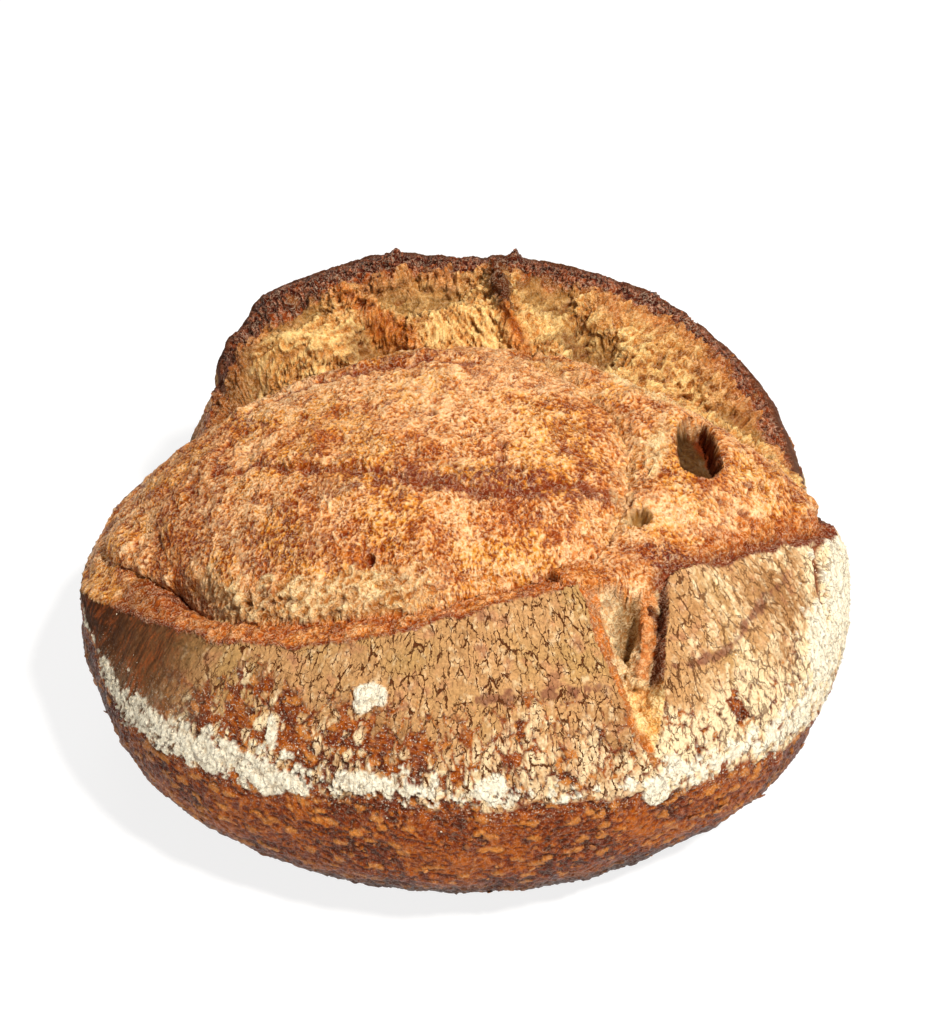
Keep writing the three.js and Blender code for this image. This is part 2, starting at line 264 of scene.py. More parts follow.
# Colours, 0 to 255
SKIN_GLINT = (255, 228, 190)
# Pale skin, also laid on crests and blister rims as a painted highlight
SKIN_PALE_AND_HIGHLIGHT = (255, 208, 154)
SKIN = (224, 142, 62)
SKIN_GOLD = (238, 162, 54)
# Deep brown of the skin, also laid in pits, pores, creases and hollows as painted shade
SKIN_DEEP_AND_SHADE = (140, 58, 10)
SKIN_PURPLE = (120, 54, 38)
CRUMB_PALE = (255, 218, 144)
CRUMB = (214, 152, 78)
# Painted shade of the crumb, in its pits, low in the pockets, in holes and at the ear's dark end
CRUMB_SHADE = (126, 68, 22)
CRUMB_CREAM = (250, 226, 180)
# Smooth crumb of the pockets and holes, darkened as painted shade
POCKET_SHADE = (150, 110, 56)
BURNT = (74, 28, 16)
BURNT_WARM = (152, 76, 34)
# Painted highlight on the tips of the burnt rim
BURNT_HIGHLIGHT = (196, 144, 120)
TOASTED = (196, 102, 32)
RIB_ORANGE = (218, 126, 40)
PLATE_TAN = (192, 146, 96)
PLATE_KHAKI = (172, 136, 80)
PLATE_ROSE = (196, 134, 96)
PLATE_CREAM = (246, 222, 178)
PLATE_SHADE = (142, 94, 50)
PLATE_PURPLE = (116, 64, 50)
# Painted shade on the left side of the loaf, which is turned from the light
LEFT_SIDE_SHADE = (96, 58, 32)
FLOUR = (242, 234, 210)
FLOUR_SHADE = (196, 174, 142)
BASE_RED = (116, 45, 7)
# Dark crust, also laid as painted shade on the far left side and towards the bottom and sides of the base
BASE_DARK_AND_SHADE = (52, 20, 4)
BASE_GLOW = (172, 88, 14)
BASE_PURPLE = (104, 44, 26)
BRAN = (204, 136, 64)
CRACK = (88, 46, 20)
# Painted shade: the dark wall and floor of the slot, also the cleft's right wall and its small hole
SLOT_WALL_SHADE = (100, 40, 14)
SLOT_FLOOR_SHADE = (62, 38, 16)
# Painted shade: what the colour is multiplied by in the hollows between the material's fine curls
HOLLOW_SHADE = (0.62, 0.40, 0.24)

# From the materials: width of the finest cracks, and for the finest grain its lumps in a metre, its range,
# the shade it gives and its bump
CRACK_WIDTH = 0.075
GRAIN_SCALE = 1300.0
CURL_SCALE = 680.0
DUST_SCALE = 1700.0
BIT_SCALE = 1800.0
GRAIN_RANGE = (0.3, 0.7)
GRAIN_SHADE = (0.74, 1.26)
BIT_SHADE = (0.8, 1.2)
CRUST_BUMP = {"Strength": 0.85, "Distance": 0.0007}
BIT_BUMP = {"Strength": 0.6, "Distance": 0.0004}

# Loose bits of each kind. Squash is their flatness, and ragged how uneven they are.
FLOUR_GRAINS = dict(seed=21, count=3600, sizes=(0.3, 0.8), squash=0.5, ragged=0.45,
                    colours=((238, 228, 204), (206, 190, 160)), roughness=0.95)
RIM_CRUMBS = dict(seed=22, count=900, sizes=(0.4, 1.3), squash=0.7, ragged=0.6,
                  colours=((84, 40, 28), (170, 104, 70)), roughness=0.55)
BRAN_FLECKS = dict(seed=24, count=260, sizes=(1.0, 3.6), squash=0.16, ragged=0.2,
                   colours=((190, 124, 62), (120, 64, 30)), roughness=0.5)

# Camera, at the photograph's angle, in millimetres and in pixels of the photograph
CAMERA_ANGLE = 42.0
CAMERA_DISTANCE = 630.0
CAMERA_LENS = 70.0
CAMERA_AIM = (0.3, -8.6, 55.0)
FRAME_SIZE = (951, 1024)
AIM_PIXEL = (463.5, 579.0)

# Lights: place and size in metres, power, colour
LIGHTS = {
    "key_light": ((0.62, -0.68, 1.5), 0.18, 37.5, (1.0, 0.96, 0.91)),
    "fill_light": ((-0.7, -1.2, 0.9), 1.0, 3.0, (1, 1, 1)),
    "back_light": ((-0.3, 1.6, 1.6), 1.2, 9.0, (1, 1, 1)),
}
SKY = (1.0, 0.88, 0.76, 1)
SKY_STRENGTH = 0.16
FLOOR_HALF = 40000.0
FLOOR_GREY = (0.25, 0.25, 0.25, 1)
FLOOR_GLOW = 0.82


# Basic shapes and blends


def linear(colour):
    """A colour given in 0 to 255, as light."""
    c = np.array(colour, float) / 255.0
    return np.where(c > 0.04045, ((c + 0.055) / 1.055) ** 2.4, c / 12.92)


def curve(points, steps=10):
    """A smooth line through the points."""
    p = np.array(points, float)
    out = []
    for i in range(len(p) - 1):
        b, c = p[i], p[i + 1]
        a = p[i - 1] if i else 2 * b - c
        d = p[i + 2] if i + 2 < len(p) else 2 * c - b
        t = np.linspace(0, 1, steps, endpoint=False)[:, None]
        out.append(0.5 * (2 * b + (c - a) * t + (2 * a - 5 * b + 4 * c - d) * t**2
                          + (3 * b - a - 3 * c + d) * t**3))
    return np.concatenate([*out, p[-1:]])


def nearest(q, line, chunk=40000):
    """Distance to a line for each point, how far along it that is, 0 to 1, and its third value there."""
    a, ab = line[:-1, :2], np.diff(line[:, :2], axis=0)
    long = np.maximum((ab**2).sum(1), 1e-9)
    start = np.concatenate([[0], np.cumsum(np.sqrt(long))])
    distance, along = np.empty(len(q)), np.empty(len(q))
    for i in range(0, len(q), chunk):
        x = q[i:i + chunk, None, :] - a
        t = np.clip((x * ab).sum(-1) / long, 0, 1)
        gap = ((x - t[..., None] * ab)**2).sum(-1)
        k = gap.argmin(1)
        r = np.arange(len(k))
        distance[i:i + chunk] = np.sqrt(gap[r, k])
        along[i:i + chunk] = (start[k] + t[r, k] * np.sqrt(long[k])) / start[-1]
    third = np.interp(along, start / start[-1], line[:, 2]) if line.shape[1] > 2 else None
    return distance, along, third


def near_line(q, points):
    return nearest(q, curve(points))[0]


def inside(q, outline):
    """Whether each point is inside a closed outline."""
    x, y = q.T
    odd = np.zeros(len(q), bool)
    for (ax, ay), (bx, by) in zip(outline, np.roll(outline, 1, axis=0)):
        if ay != by:
            odd ^= ((ay > y) != (by > y)) & (x < (bx - ax) * (y - ay) / (by - ay) + ax)
    return odd


def ease(x, low, high):
    """0 up to low, 1 from high on, smooth between."""
    t = np.clip((x - low) / (high - low), 0, 1)
    return t * t * (3 - 2 * t)


def unit(v):
    """Directions, each of length 1."""
    return v / np.maximum(np.linalg.norm(v, axis=1, keepdims=True), 1e-9)


def apart(q, place):
    """Distance of each point to a place."""
    return np.hypot(*(q - place).T)


def bell(distance, reach, power=2):
    return np.exp(-(distance / reach)**power)


def mix(a, b, share):
    return a + (b - a) * share


def puff(distance, width):
    return (1 - (1 - np.clip(distance / width, 0, 1))**2)**PUFF_POWER


def turned(q, degrees):
    """Places along and across a direction."""
    c, s = math.cos(math.radians(degrees)), math.sin(math.radians(degrees))
    return np.column_stack([q[:, 0] * c + q[:, 1] * s, q[:, 1] * c - q[:, 0] * s])


def spread(q, centre, half, turn):
    """Distance from an ellipse's middle, 1 on its edge."""
    return np.hypot(*(turned(q - centre, turn) / half).T)


def by_direction(degrees, table):
    """A value that changes with the direction from the middle."""
    angle, value = np.array(table, float).T
    return np.interp(degrees, angle, value, period=360)


# Noise in three directions, seeded
SHUFFLE = np.tile(np.random.default_rng(11).permutation(256), 3)
SLOPES = unit(np.random.default_rng(12).normal(size=(256, 3)))
JITTER = np.random.default_rng(13).random((256, 4))


def hashed(cell):
    i, j, k = (cell & 255).T
    return SHUFFLE[SHUFFLE[SHUFFLE[i] + j] + k]


def noise(p, size, seed=0):
    """Smooth noise at points p, about -1 to 1, with lumps of a size in millimetres. A seed shifts it."""
    x = p / size + seed * 17.31
    cell = np.floor(x).astype(int)
    f = x - cell
    w = f**3 * (f * (f * 6 - 15) + 10)
    total = np.zeros(len(p))
    for i, j, k in product((0, 1), repeat=3):
        slope = SLOPES[hashed(cell + (i, j, k))]
        share = np.abs(1 - i - w[:, 0]) * np.abs(1 - j - w[:, 1]) * np.abs(1 - k - w[:, 2])
        total += share * ((f - (i, j, k)) * slope).sum(1)
    return total * 1.7


def layers(p, size, seed=0, count=3, fall=0.5):
    """Noise with finer layers added."""
    return sum(noise(p, size * 0.5**i, seed + i) * fall**i for i in range(count))


def strands(p, size, seed=0):
    """Thin crests with hollows between, 0 to 1."""
    return 1 - np.minimum(np.abs(noise(p, size, seed)) * 2.2, 1)


def drift(p, size, seed=0):
    """Noise as a shift in each direction."""
    return np.stack([noise(p, size, seed + i) for i in range(3)], 1)


def cells(p, size, seed=0, flat=False):
    """Distance to the nearest cell middle, the gap to the next one, and a number for the nearest cell."""
    x = p / size + seed * 9.7
    if flat:
        x[:, 2] = 0
    cell = np.floor(x).astype(int)
    f = x - cell
    first, second, tag = np.full(len(p), 9.0), np.full(len(p), 9.0), np.zeros(len(p))
    for corner in product((-1, 0, 1), (-1, 0, 1), (0,) if flat else (-1, 0, 1)):
        draw = JITTER[hashed(cell + corner)]
        apart = corner + draw[:, :3] * ((1, 1, 0) if flat else 1) - f
        gap = np.sqrt((apart**2).sum(1))
        closer = gap < first
        second = np.where(closer, first, np.minimum(second, gap))
        tag = np.where(closer, draw[:, 3], tag)
        first = np.minimum(first, gap)
    return first, second - first, tag


# Plain body and its large forms


def plain_body(q):
    """Points of the plain body, the direction in which relief stands out, and the degrees from the top."""
    polar = np.hypot(*q.T) / QUARTER * math.pi / 2
    azimuth = np.arctan2(q[:, 1], q[:, 0])
    out = np.stack([np.sin(polar) * np.cos(azimuth), np.sin(polar) * np.sin(azimuth), np.cos(polar)], 1)
    depth = np.where(np.sin(azimuth) < 0, FRONT_DEPTH, BACK_DEPTH)
    level = np.maximum(np.sin(polar), 0) * np.hypot(np.cos(azimuth) / HALF_LENGTH, np.sin(azimuth) / depth)
    top = np.cos(polar) > 0
    power = np.where(top, TOP_POWER - LEFT_LEAN * np.maximum(-np.cos(azimuth), 0)**2, UNDER_POWER)
    upright = np.abs(np.cos(polar)) / np.where(top, TOP_RISE, UNDER_DROP)
    p = out * ((level**power + upright**power)**(-1 / power))[:, None]
    degrees = np.degrees(polar)
    lean = ease(degrees, *LEAN)[:, None]
    lift = out * lean + np.array([0, 0, 1.0]) * (1 - lean)
    return p, unit(lift), degrees


def crust_areas(q):
    """Distances to the lines of the crust and the areas between them."""
    lines = {name: curve(points) for name, points in LINES.items()}
    at = SimpleNamespace()
    for name, line in lines.items():
        distance, along, third = nearest(q, line)
        vars(at).update({name: distance, "along_" + name: along})
        if third is not None:
            at.rise = third
    at.cleft = np.minimum(at.cleft_left, at.cleft_right)
    at.edge = np.minimum(at.lip, at.right)
    at.torn_share = at.valley / np.maximum(at.valley + at.crest, 1e-6)

    valley, crest = lines["valley"], lines["crest"][:, :2]
    meeting = valley[apart(valley, TROUGH[-1]).argmin(), 0]
    left_valley = valley[valley[:, 0] <= meeting][::-1]
    cleft = np.concatenate([lines["cleft_left"], lines["cleft_right"][1:]])
    at.in_opening = inside(q, np.concatenate([lines["lip"], cleft, lines["right"], crest]))
    at.in_cleft = inside(q, cleft)
    at.in_torn = inside(q, np.concatenate([valley, crest]))
    at.in_skin = at.in_opening & ~at.in_torn & ~at.in_cleft
    at.in_dome = inside(q, np.concatenate([lines["groove"], lines["trough"], left_valley]))
    at.in_strip = (at.lip < FRONT_STRIP) & (at.along_lip < STRIP_END) & ~at.in_dome
    return at


def plate_height(at):
    """Height of the crust outside the opening, and how far its lip stands up."""
    flare = np.where(at.lip < at.right, LIP_FLARE * ease(at.along_lip, 0.06, 0.22),
                     LIP_FLARE + SHOULDER_FLARE * ease(at.along_right, 0.6, 1))
    middle = ease(at.along_crest, 0, 0.2) * (1 - ease(at.along_crest, 0.8, 0.95))
    reach = mix(EAR_BACK_ENDS, EAR_BACK, middle)
    height = (flare * bell(at.edge, LIP_REACH) + CLEFT_FLARE * bell(at.cleft, CLEFT_REACH)
              + at.rise * bell(at.crest, reach, 1.6))
    return height, flare


def skin_height(at):
    """Height of the skin in the opening, and how deep the valley behind it is, 0 to 1."""
    depth = ease(at.along_valley, 0, 0.12) * (1 - ease(at.along_valley, 0.85, 1))
    fall = VALLEY_FALL * depth * bell(at.valley, VALLEY_REACH)
    dome_edge = np.minimum(np.minimum(at.groove, at.trough * TROUGH_SLACK), at.valley)
    dome = DOME_FOOT - fall + DOME_HEIGHT * puff(dome_edge, DOME_EDGE)
    side_edge = np.minimum(np.minimum(at.trough, at.right), at.valley)
    side = SIDE_FOOT - fall + SIDE_HEIGHT * puff(side_edge, SIDE_EDGE)
    band = -BAND_DROP * ease(at.lip, 0, BAND_WIDTH) - GROOVE_DROP * bell(at.groove, GROOVE_WIDTH)
    return np.where(at.in_dome, dome, np.where(at.in_strip, band, side)), depth


def cleft_height(q, at):
    """The cut between the front plates: steep on its right, soft at its head, with a rib in it."""
    head = ease(near_line(q, [CLEFT_RIGHT[-1], CLEFT_LEFT[0]]), 0, CLEFT_HEAD)
    wall = mix(CLEFT_WALL, CLEFT_SLOPE, ease(-q[:, 1], 66, 80))
    floor = ease(at.cleft_left, 0, CLEFT_SLOPE) * ease(at.cleft_right / wall, 0, 1)
    uneven = 0.93 + 0.07 * np.sin(1.7 * q[:, 1])
    rib = CLEFT_RIB_HEIGHT * bell(near_line(q, CLEFT_RIB), CLEFT_RIB_REACH, 4) * uneven
    return CLEFT_FLARE - CLEFT_DEPTH * floor * mix(0.3, 1, head) + rib * head


def sunk(q, outline, wall):
    """Share of full depth in a hole with steep walls."""
    rim = curve([*outline, outline[0]])
    return inside(q, rim) * ease(nearest(q, rim)[0], 0, wall)


def main_height(q, at):
    """Height of the crust over the plain body."""
    plate, flare = plate_height(at)
    skin, depth = skin_height(at)
    skin = mix(flare, skin, ease(at.edge, 0, LIP_EDGE))
    ridges = sum(height * bell(near_line(q, line), width) for line, height, width in RIDGES)
    foot = VALLEY_FOOT * depth
    torn = foot + (at.rise - foot) * at.torn_share**TORN_BEND
    torn += ridges * np.sqrt(np.sin(np.pi * at.torn_share))
    height = np.where(at.in_torn, torn, np.where(at.in_opening, skin, plate))
    height = np.where(at.in_cleft, cleft_height(q, at), height)
    for centre, half, turn, lift, steepness in SWELLINGS.values():
        height += lift * bell(spread(q, centre, half, turn), 1, steepness)
    for outline, deep, wall in HOLES:
        height -= deep * sunk(q, outline, wall)
    for across, deep, shift, lift in WAVES:
        height += lift * np.sin(q[:, 0] / across + shift) * np.sin(q[:, 1] / deep - shift)
    return height


# Mesh of the surface


def spacing(radius):
    return np.interp(radius, *np.array(SPACING).T)


def ring_lattice():
    """Points of the spread plane on rings, evenly spaced on the loaf, and the triangles between them."""
    radii = [0.0]
    while radii[-1] < 2 * QUARTER - RINGS_END:
        radii.append(radii[-1] + spacing(radii[-1]))
    q, rings, count = [np.zeros((1, 2))], [(0, 1)], 1
    for r in radii[1:]:
        girth = 2 * math.pi * min(r, QUARTER * math.sin(r / QUARTER * math.pi / 2) + GIRTH_SPARE)
        n = max(6, int(girth / (ALONG_RING * spacing(r))))
        angle = (np.arange(n) + 0.5 * (len(rings) % 2)) * 2 * math.pi / n
        q.append(r * np.stack([np.cos(angle), np.sin(angle)], 1))
        rings.append((count, n))
        count += n
    q.append(np.array([[2 * QUARTER - 1e-6, 0.0]]))
    first, last = rings[1], rings[-1]
    faces = [(0, first[0] + i, first[0] + (i + 1) % first[1]) for i in range(first[1])]
    for inner, outer in zip(rings[1:], rings[2:]):
        faces += ring_faces(*inner, *outer)
    faces += [(last[0] + (i + 1) % last[1], last[0] + i, count) for i in range(last[1])]
    return np.concatenate(q), np.array(faces)


def ring_faces(a, n, b, m):
    """Triangles between a ring of n points and the next one out, of m points."""
    faces = []
    i = j = 0
    while i < n or j < m:
        if j < m and (i >= n or (j + 1) * n <= (i + 1) * m):
            faces.append((a + i % n, b + j % m, b + (j + 1) % m))
            j += 1
        else:
            faces.append((a + i % n, b + j % m, a + (i + 1) % n))
            i += 1
    return faces


def normals(p, faces):
    """The direction that the surface faces at each point."""
    a, b, c = (p[faces[:, i]] for i in range(3))
    face = np.cross(b - a, c - a)
    out = np.stack([sum(np.bincount(faces[:, k], face[:, i], len(p)) for k in range(3)) for i in range(3)], 1)
    return unit(out)


def settle(p):
    """Flattens what would lie under the base onto it, and sets the loaf over the frame's middle."""
    low = p[:, 2] < -WAIST
    p[low, :2] *= (-WAIST / p[low, 2])[:, None]
    p[:, 2] = np.maximum(p[:, 2] + WAIST, 0)
    p[:, :2] -= MIDDLE
    return p


# Layers of the crust. Each gives its relief, colour and finish.


def paint(base, *steps):
    """Lays colours over each other. A step is a colour and its share, or a colour, a value, the value's
    range from no colour to the most of it, and that most. The base is a colour, or one for each point."""
    out = base if isinstance(base, np.ndarray) else linear(base)
    for colour, share, *span in steps:
        if span:
            low, high, most = span
            share = ease(share, low, high) * most
        out = mix(out, linear(colour), np.clip(share, 0, 1)[:, None])
    return out


def finish(height, colour, gloss, crackle=0.0, curl=0.0, dust=0.0):
    """One layer's relief, colour, roughness and shares of fine cracks, curls and dust, side by side."""
    shares = [np.broadcast_to(value, len(height)) for value in (gloss, crackle, curl, dust)]
    return np.column_stack([height, colour, *shares])


def patches(q, table, rag):
    """Share of ragged patches, each with a centre, half sizes, a turn and its strength."""
    return np.clip(sum(strength * ease(1 - spread(q, centre, half, turn) + 0.45 * rag, -0.25, 0.35)
                       for centre, half, turn, strength in table), 0, 1)


def ear_ends(at, start, end):
    """Share that grows towards both ends of the ear."""
    return ease(np.abs(at.q[:, 0] - EAR_MIDDLE), start, end)


def creases(at):
    """Depth of the creases in the skin."""
    bent = at.q + 2.2 * drift(at.p, 5, 72)[:, :2] + 0.8 * drift(at.p, 1.8, 73)[:, :2]
    return sum(depth * bell(near_line(bent, line) + 0.8 * at.rag, width) for line, depth, width in CREASES)


def pores(at):
    """Share of the open pores in the skin."""
    pore = np.zeros(len(at.q))
    for centre, radius in PORES:
        pore = np.maximum(pore, ease(radius - apart(at.q, centre) + 0.5 * at.rag, -0.2, 0.7))
    return pore


def skin_layer(at):
    """Baked skin: thin wrinkles, blisters with raised rims, pits, creases and pores."""
    q, p, rag = at.q, at.p, at.rag
    moved = p + 0.8 * drift(p, 2.8, 70)
    pulled = np.column_stack([turned(q, SKIN_PULL) / (1.0, 1.7), 0.5 * p[:, 2]]) + 0.5 * drift(p, 3.5, 71)
    swell = layers(p, 14, 1, 2)
    lump = layers(p, 7, 3, 1)
    far, _, tag = cells(moved, 3.1, 5)
    ring = bell(far - 0.40, 0.12) * (tag > 0.7)
    wrinkle = strands(pulled, 1.7, 7)
    fine = strands(moved, 0.95, 9)
    pit = ease(noise(moved, 1.3, 12), 0.2, 0.6)
    crease, pore = creases(at), pores(at)
    # The slot's wall and floor and the small hole are darkened below as painted shade
    slot, hole = sunk(q, SLOT, 1.2), sunk(q, HOLE, 1.0)
    wall = ease(q[:, 0] + 0.16 * q[:, 1] + 1.5 * rag, 65.5, 68.0)
    web = np.maximum(wrinkle**2, 0.85 * fine**2)
    height = (0.8 * swell + 0.9 * lump + 0.35 * ring + 0.55 * web + 0.15 * fine - 0.35 * pit
              - crease - 2.4 * pore)

    dark = patches(q, SKIN_DARK, rag)
    pale = patches(q, SKIN_LIGHT, rag)
    wide = layers(p, 24, 50, 3)
    blotch = layers(p, 7, 53, 2)
    tone = (web - 0.45 + 0.5 * ring + 0.2 * (fine - 0.5) - 0.5 * pit + 0.32 * wide
            + 0.3 * blotch + 0.35 * (pale - 0.1) - 0.2 * dark)
    spot = ease(noise(moved, 3.6, 55), 0.5, 0.75) * (1 - 0.6 * pale)
    # Pale on the crests and blister rims is partly a painted highlight; deep brown in pits, pores and creases
    # is painted shade
    colour = paint(
        SKIN,
        (SKIN_GOLD, layers(p, 17, 58, 3) + 0.3 * (tag - 0.5), -0.2, 0.4, 0.9),
        (TOASTED, -blotch - 0.3 * wide, 0.15, 0.7, 0.6),
        (SKIN_PALE_AND_HIGHLIGHT, tone, -0.04, 0.52, 1),
        (SKIN_DEEP_AND_SHADE, -tone, 0.05, 0.45, 0.95),
        (SKIN_PURPLE, dark * ease(0.55 * rag + 0.7 * (0.6 - wrinkle) + 0.3 * wide, -0.4, 0.35) * 0.8),
        (SKIN_PURPLE, spot * ease(0.7 - wrinkle, 0, 0.5) * 0.6),
        (SKIN_PALE_AND_HIGHLIGHT, 0.2 * pale),
        (SKIN_DEEP_AND_SHADE, crease + 0.2 * rag, 0.2, 0.8, 0.85),
        (SKIN_PURPLE, crease - 0.4 * wrinkle + 0.5 * rag, 0.5, 0.9, 0.5),
        (SKIN_DEEP_AND_SHADE, pore),
        (SLOT_FLOOR_SHADE, slot * 0.95),
        (SLOT_WALL_SHADE, slot * wall),
        (POCKET_SHADE, hole * 0.8),
    )
    curly = (1 - np.maximum(slot, hole)) * mix(0.55, 1, ease(noise(p, 6, 57), -0.4, 0.5))
    return finish(height, colour, 0.32 + 0.14 * pit, curl=curly)


def fibres(at):
    """Long threads of pulled dough, fanned out on each side of the left ridge."""
    left_turn, right_turn = (turned(at.q, turn) for turn in FIBRE_TURNS)
    run = np.where(at.q[:, :1] < -26, left_turn, right_turn) / (8.0, 1.1)
    return strands(np.column_stack([run, 0.1 * at.p[:, 2]]) + 0.3 * drift(at.p, 3, 36), 1.0, 35)


def crumb_layer(at):
    """Torn crumb: thin ragged walls round pits of many sizes, smooth pockets and pulled fibres."""
    q, p = at.q, at.p
    moved = p + 1.8 * drift(p, 7, 75) + 0.5 * drift(p, 2.2, 78)
    pulled = moved @ CRUMB_PULL
    wall = 1 - ease(cells(pulled, 2.7, 31)[1], 0.02, 0.30)
    thin = 1 - ease(cells(moved, 1.4, 33)[1], 0.03, 0.35)
    coarse = strands(pulled, 5.0, 34)
    pocket = np.clip(sum(bell(spread(q, *place[:3]), 1, 6) for name, place in SWELLINGS.items()
                         if name.startswith("pocket")), 0, 1)
    sheet = sum(bell(spread(q, *place), 1, 4) for place in FIBRE_SHEETS) * (1 - pocket)
    fibre = fibres(at)
    body = mix(0.42 * wall + 0.23 * thin + 0.35 * coarse, 0.75 * fibre + 0.25 * thin, 0.9 * sheet)
    far, _, tag = cells(pulled, 2.6, 37)
    hole = ease(0.42 - far, 0, 0.12) * (tag > 0.62) * (1 - sheet)
    pits = 2.0 * (wall - 0.4) + (thin - 0.4) + 2.4 * (coarse - 0.5)
    relief = mix(pits, 2.2 * (fibre - 0.4) + 0.6 * (thin - 0.4), 0.95 * sheet)
    calm = mix(0.5, 1.0, at.in_torn) * (1 - 0.6 * bell(spread(q, *CALM_CRUMB), 1, 4))
    height = (1 - 0.6 * pocket) * calm * relief + 0.7 * layers(p, 9, 12, 2) - 1.6 * hole

    wide = layers(p, 11, 52, 2)
    share = at.torn_share * at.in_torn
    toasted = ease(share + 0.25 * wide + 0.3 * (body - 0.45) + 0.1 * ear_ends(at, 35, 80), 0.6, 1.0)
    rib = np.maximum(bell(near_line(q, LEFT_RIB), 2.2, 3), bell(near_line(q, RIGHT_RIB), 1.9, 3))
    end_shade = patches(q, [EAR_END_SHADE], at.rag)
    scorched = bell(near_line(q, RIGHT_RIB[:3]), 2.2, 3) * ease(q[:, 1] + 2 * at.rag, 58, 62)
    bright = ease(body, 0.25, 0.65)
    # Dark in the pits, pockets and holes, on the ribs' lower side and at the ear's dark end is painted shade
    colour = paint(
        CRUMB,
        (CRUMB_PALE, body + 0.25 * wide, 0.38, 0.75, 1),
        (CRUMB_SHADE, 0.38 - body - 0.15 * wide, 0.0, 0.3, 0.75),
        (CRUMB_CREAM, (1 - at.in_torn) * ease(body, 0.3, 0.7) * 0.6),
        (BURNT_WARM, toasted * (1 - bright) * 0.8),
        (TOASTED, toasted * bright * 0.75),
        (POCKET_SHADE, pocket * (1 - 0.5 * bright)),
        (CRUMB_SHADE, pocket * ease(0.35 * wide - share + 0.6, 0, 0.4) * 0.6),
        (CRUMB_SHADE, hole * 0.7),
        (RIB_ORANGE, rib * 0.75),
        (SKIN_DEEP_AND_SHADE, rib * (1 - bright) * 0.7),
        (BURNT, scorched * 0.9),
        (CRUMB_SHADE, end_shade * 0.5),
    )
    return finish(height, colour, 0.6, curl=(1 - 0.5 * pocket) * (1 - 0.4 * sheet) * 0.8)


def cleft_layer(at):
    """The cut between the front plates: crumb with a browned left wall and a browned rib, and painted shade
    on the right wall and in the deep and small holes.
    """
    crumb = crumb_layer(at)
    q, rag = at.q, at.rag
    left_reach = mix(5.2, 2.6, ease(-q[:, 1], 58, 84)) + 1.2 * rag
    left_wall = ease(left_reach - at.cleft_left, -0.6, 0.8)
    right_reach = CLEFT_WALL + 0.6 * rag
    right_wall = ease(right_reach - at.cleft_right, -0.6, 0.6) * ease(q[:, 1], -78, -74)
    rib = ease(2.1 + 0.6 * rag - near_line(q, CLEFT_RIB), -0.4, 0.6)
    hole = bell(spread(q, *CLEFT_HOLE), 1, 4)
    small_hole = bell(apart(q, CLEFT_PORE), 1.1, 4)
    low = ease(-q[:, 1], 70, 76)
    mottled = ease(layers(at.p, 2.4, 48, 2), -0.3, 0.3)
    crumb[:, 1:4] = paint(
        crumb[:, 1:4],
        (CRUMB_CREAM, np.full(len(q), 0.5)),
        (POCKET_SHADE, hole * 0.85),
        (SLOT_WALL_SHADE, right_wall * 0.95),
        (CRUMB_PALE, low * 0.7),
        (SKIN_GOLD, low * ease(rag, 0, 0.5) * 0.6),
        (RIB_ORANGE, rib * 0.75),
        (RIB_ORANGE, left_wall * mix(0.45, 0.95, mottled)),
        (SKIN_DEEP_AND_SHADE, left_wall * (1 - mottled) * 0.5),
        (SKIN_DEEP_AND_SHADE, bell(at.cleft_left - 0.3, 0.6) * 0.4),
        (SLOT_WALL_SHADE, small_hole),
    )
    crumb[:, 0] = 0.6 * crumb[:, 0] - 2.5 * small_hole
    return crumb


def band_layer(at):
    """The browned strip between the skin and the lip, crumbly and streaked along the lip."""
    q, p, rag = at.q, at.p, at.rag
    along = np.where(at.lip < at.right, at.along_lip * LIP_LENGTH,
                     at.along_right * RIGHT_LIP_LENGTH + LIPS_APART)
    run = np.column_stack([along / 4.0, at.edge, 0.5 * p[:, 2]]) + 0.5 * drift(p, 3, 80)
    streak = strands(run, 1.5, 41)
    lump = layers(p, 4.5, 42, 2)
    moved = p + 0.5 * drift(p, 2, 47)
    fine = strands(moved, 1.2, 44)
    pit = ease(noise(moved, 1.6, 45), 0.2, 0.6)
    height = 0.4 * streak + 0.7 * lump + 0.5 * fine - 0.4 * pit
    left = ease(-q[:, 0], 52, 78)
    right = at.right < at.lip
    junction = patches(q, [JUNCTION], rag)
    tone = 0.45 * (streak - 0.45) + 0.5 * (fine - 0.45) + 0.4 * lump - 0.5 * pit
    recess = patches(q, [RECESS_SHADE], rag)
    purple = ease(4.5 - at.edge - 0.05 * (q[:, 0] - 55), -2, 2)
    colour = paint(
        # Pale on the crests is partly a painted highlight; deep brown in the hollows and over the left part
        # is painted shade
        SKIN,
        (TOASTED, noise(p, 8, 46), -0.4, 0.4, 0.8),
        (SKIN_PALE_AND_HIGHLIGHT, tone, 0.1, 0.65, 0.65),
        (SKIN_DEEP_AND_SHADE, -tone, -0.1, 0.4, 0.85),
        (SKIN_DEEP_AND_SHADE, left * 0.4),
        (LEFT_SIDE_SHADE, -q[:, 0], 78, 98, 0.3),
        (SKIN_PURPLE, np.maximum(right * purple * 0.75, junction * ease(0.8 - fine, 0, 0.5))),
        (SKIN_PURPLE, recess * 0.85),
        (BURNT, recess * ease(0.5 - fine, 0, 0.4) * 0.6),
        (SKIN_PURPLE, 1.3 + 0.4 * rag - at.edge, 0, 0.8, 0.6),
    )
    return finish(height, colour, 0.45, curl=0.9)


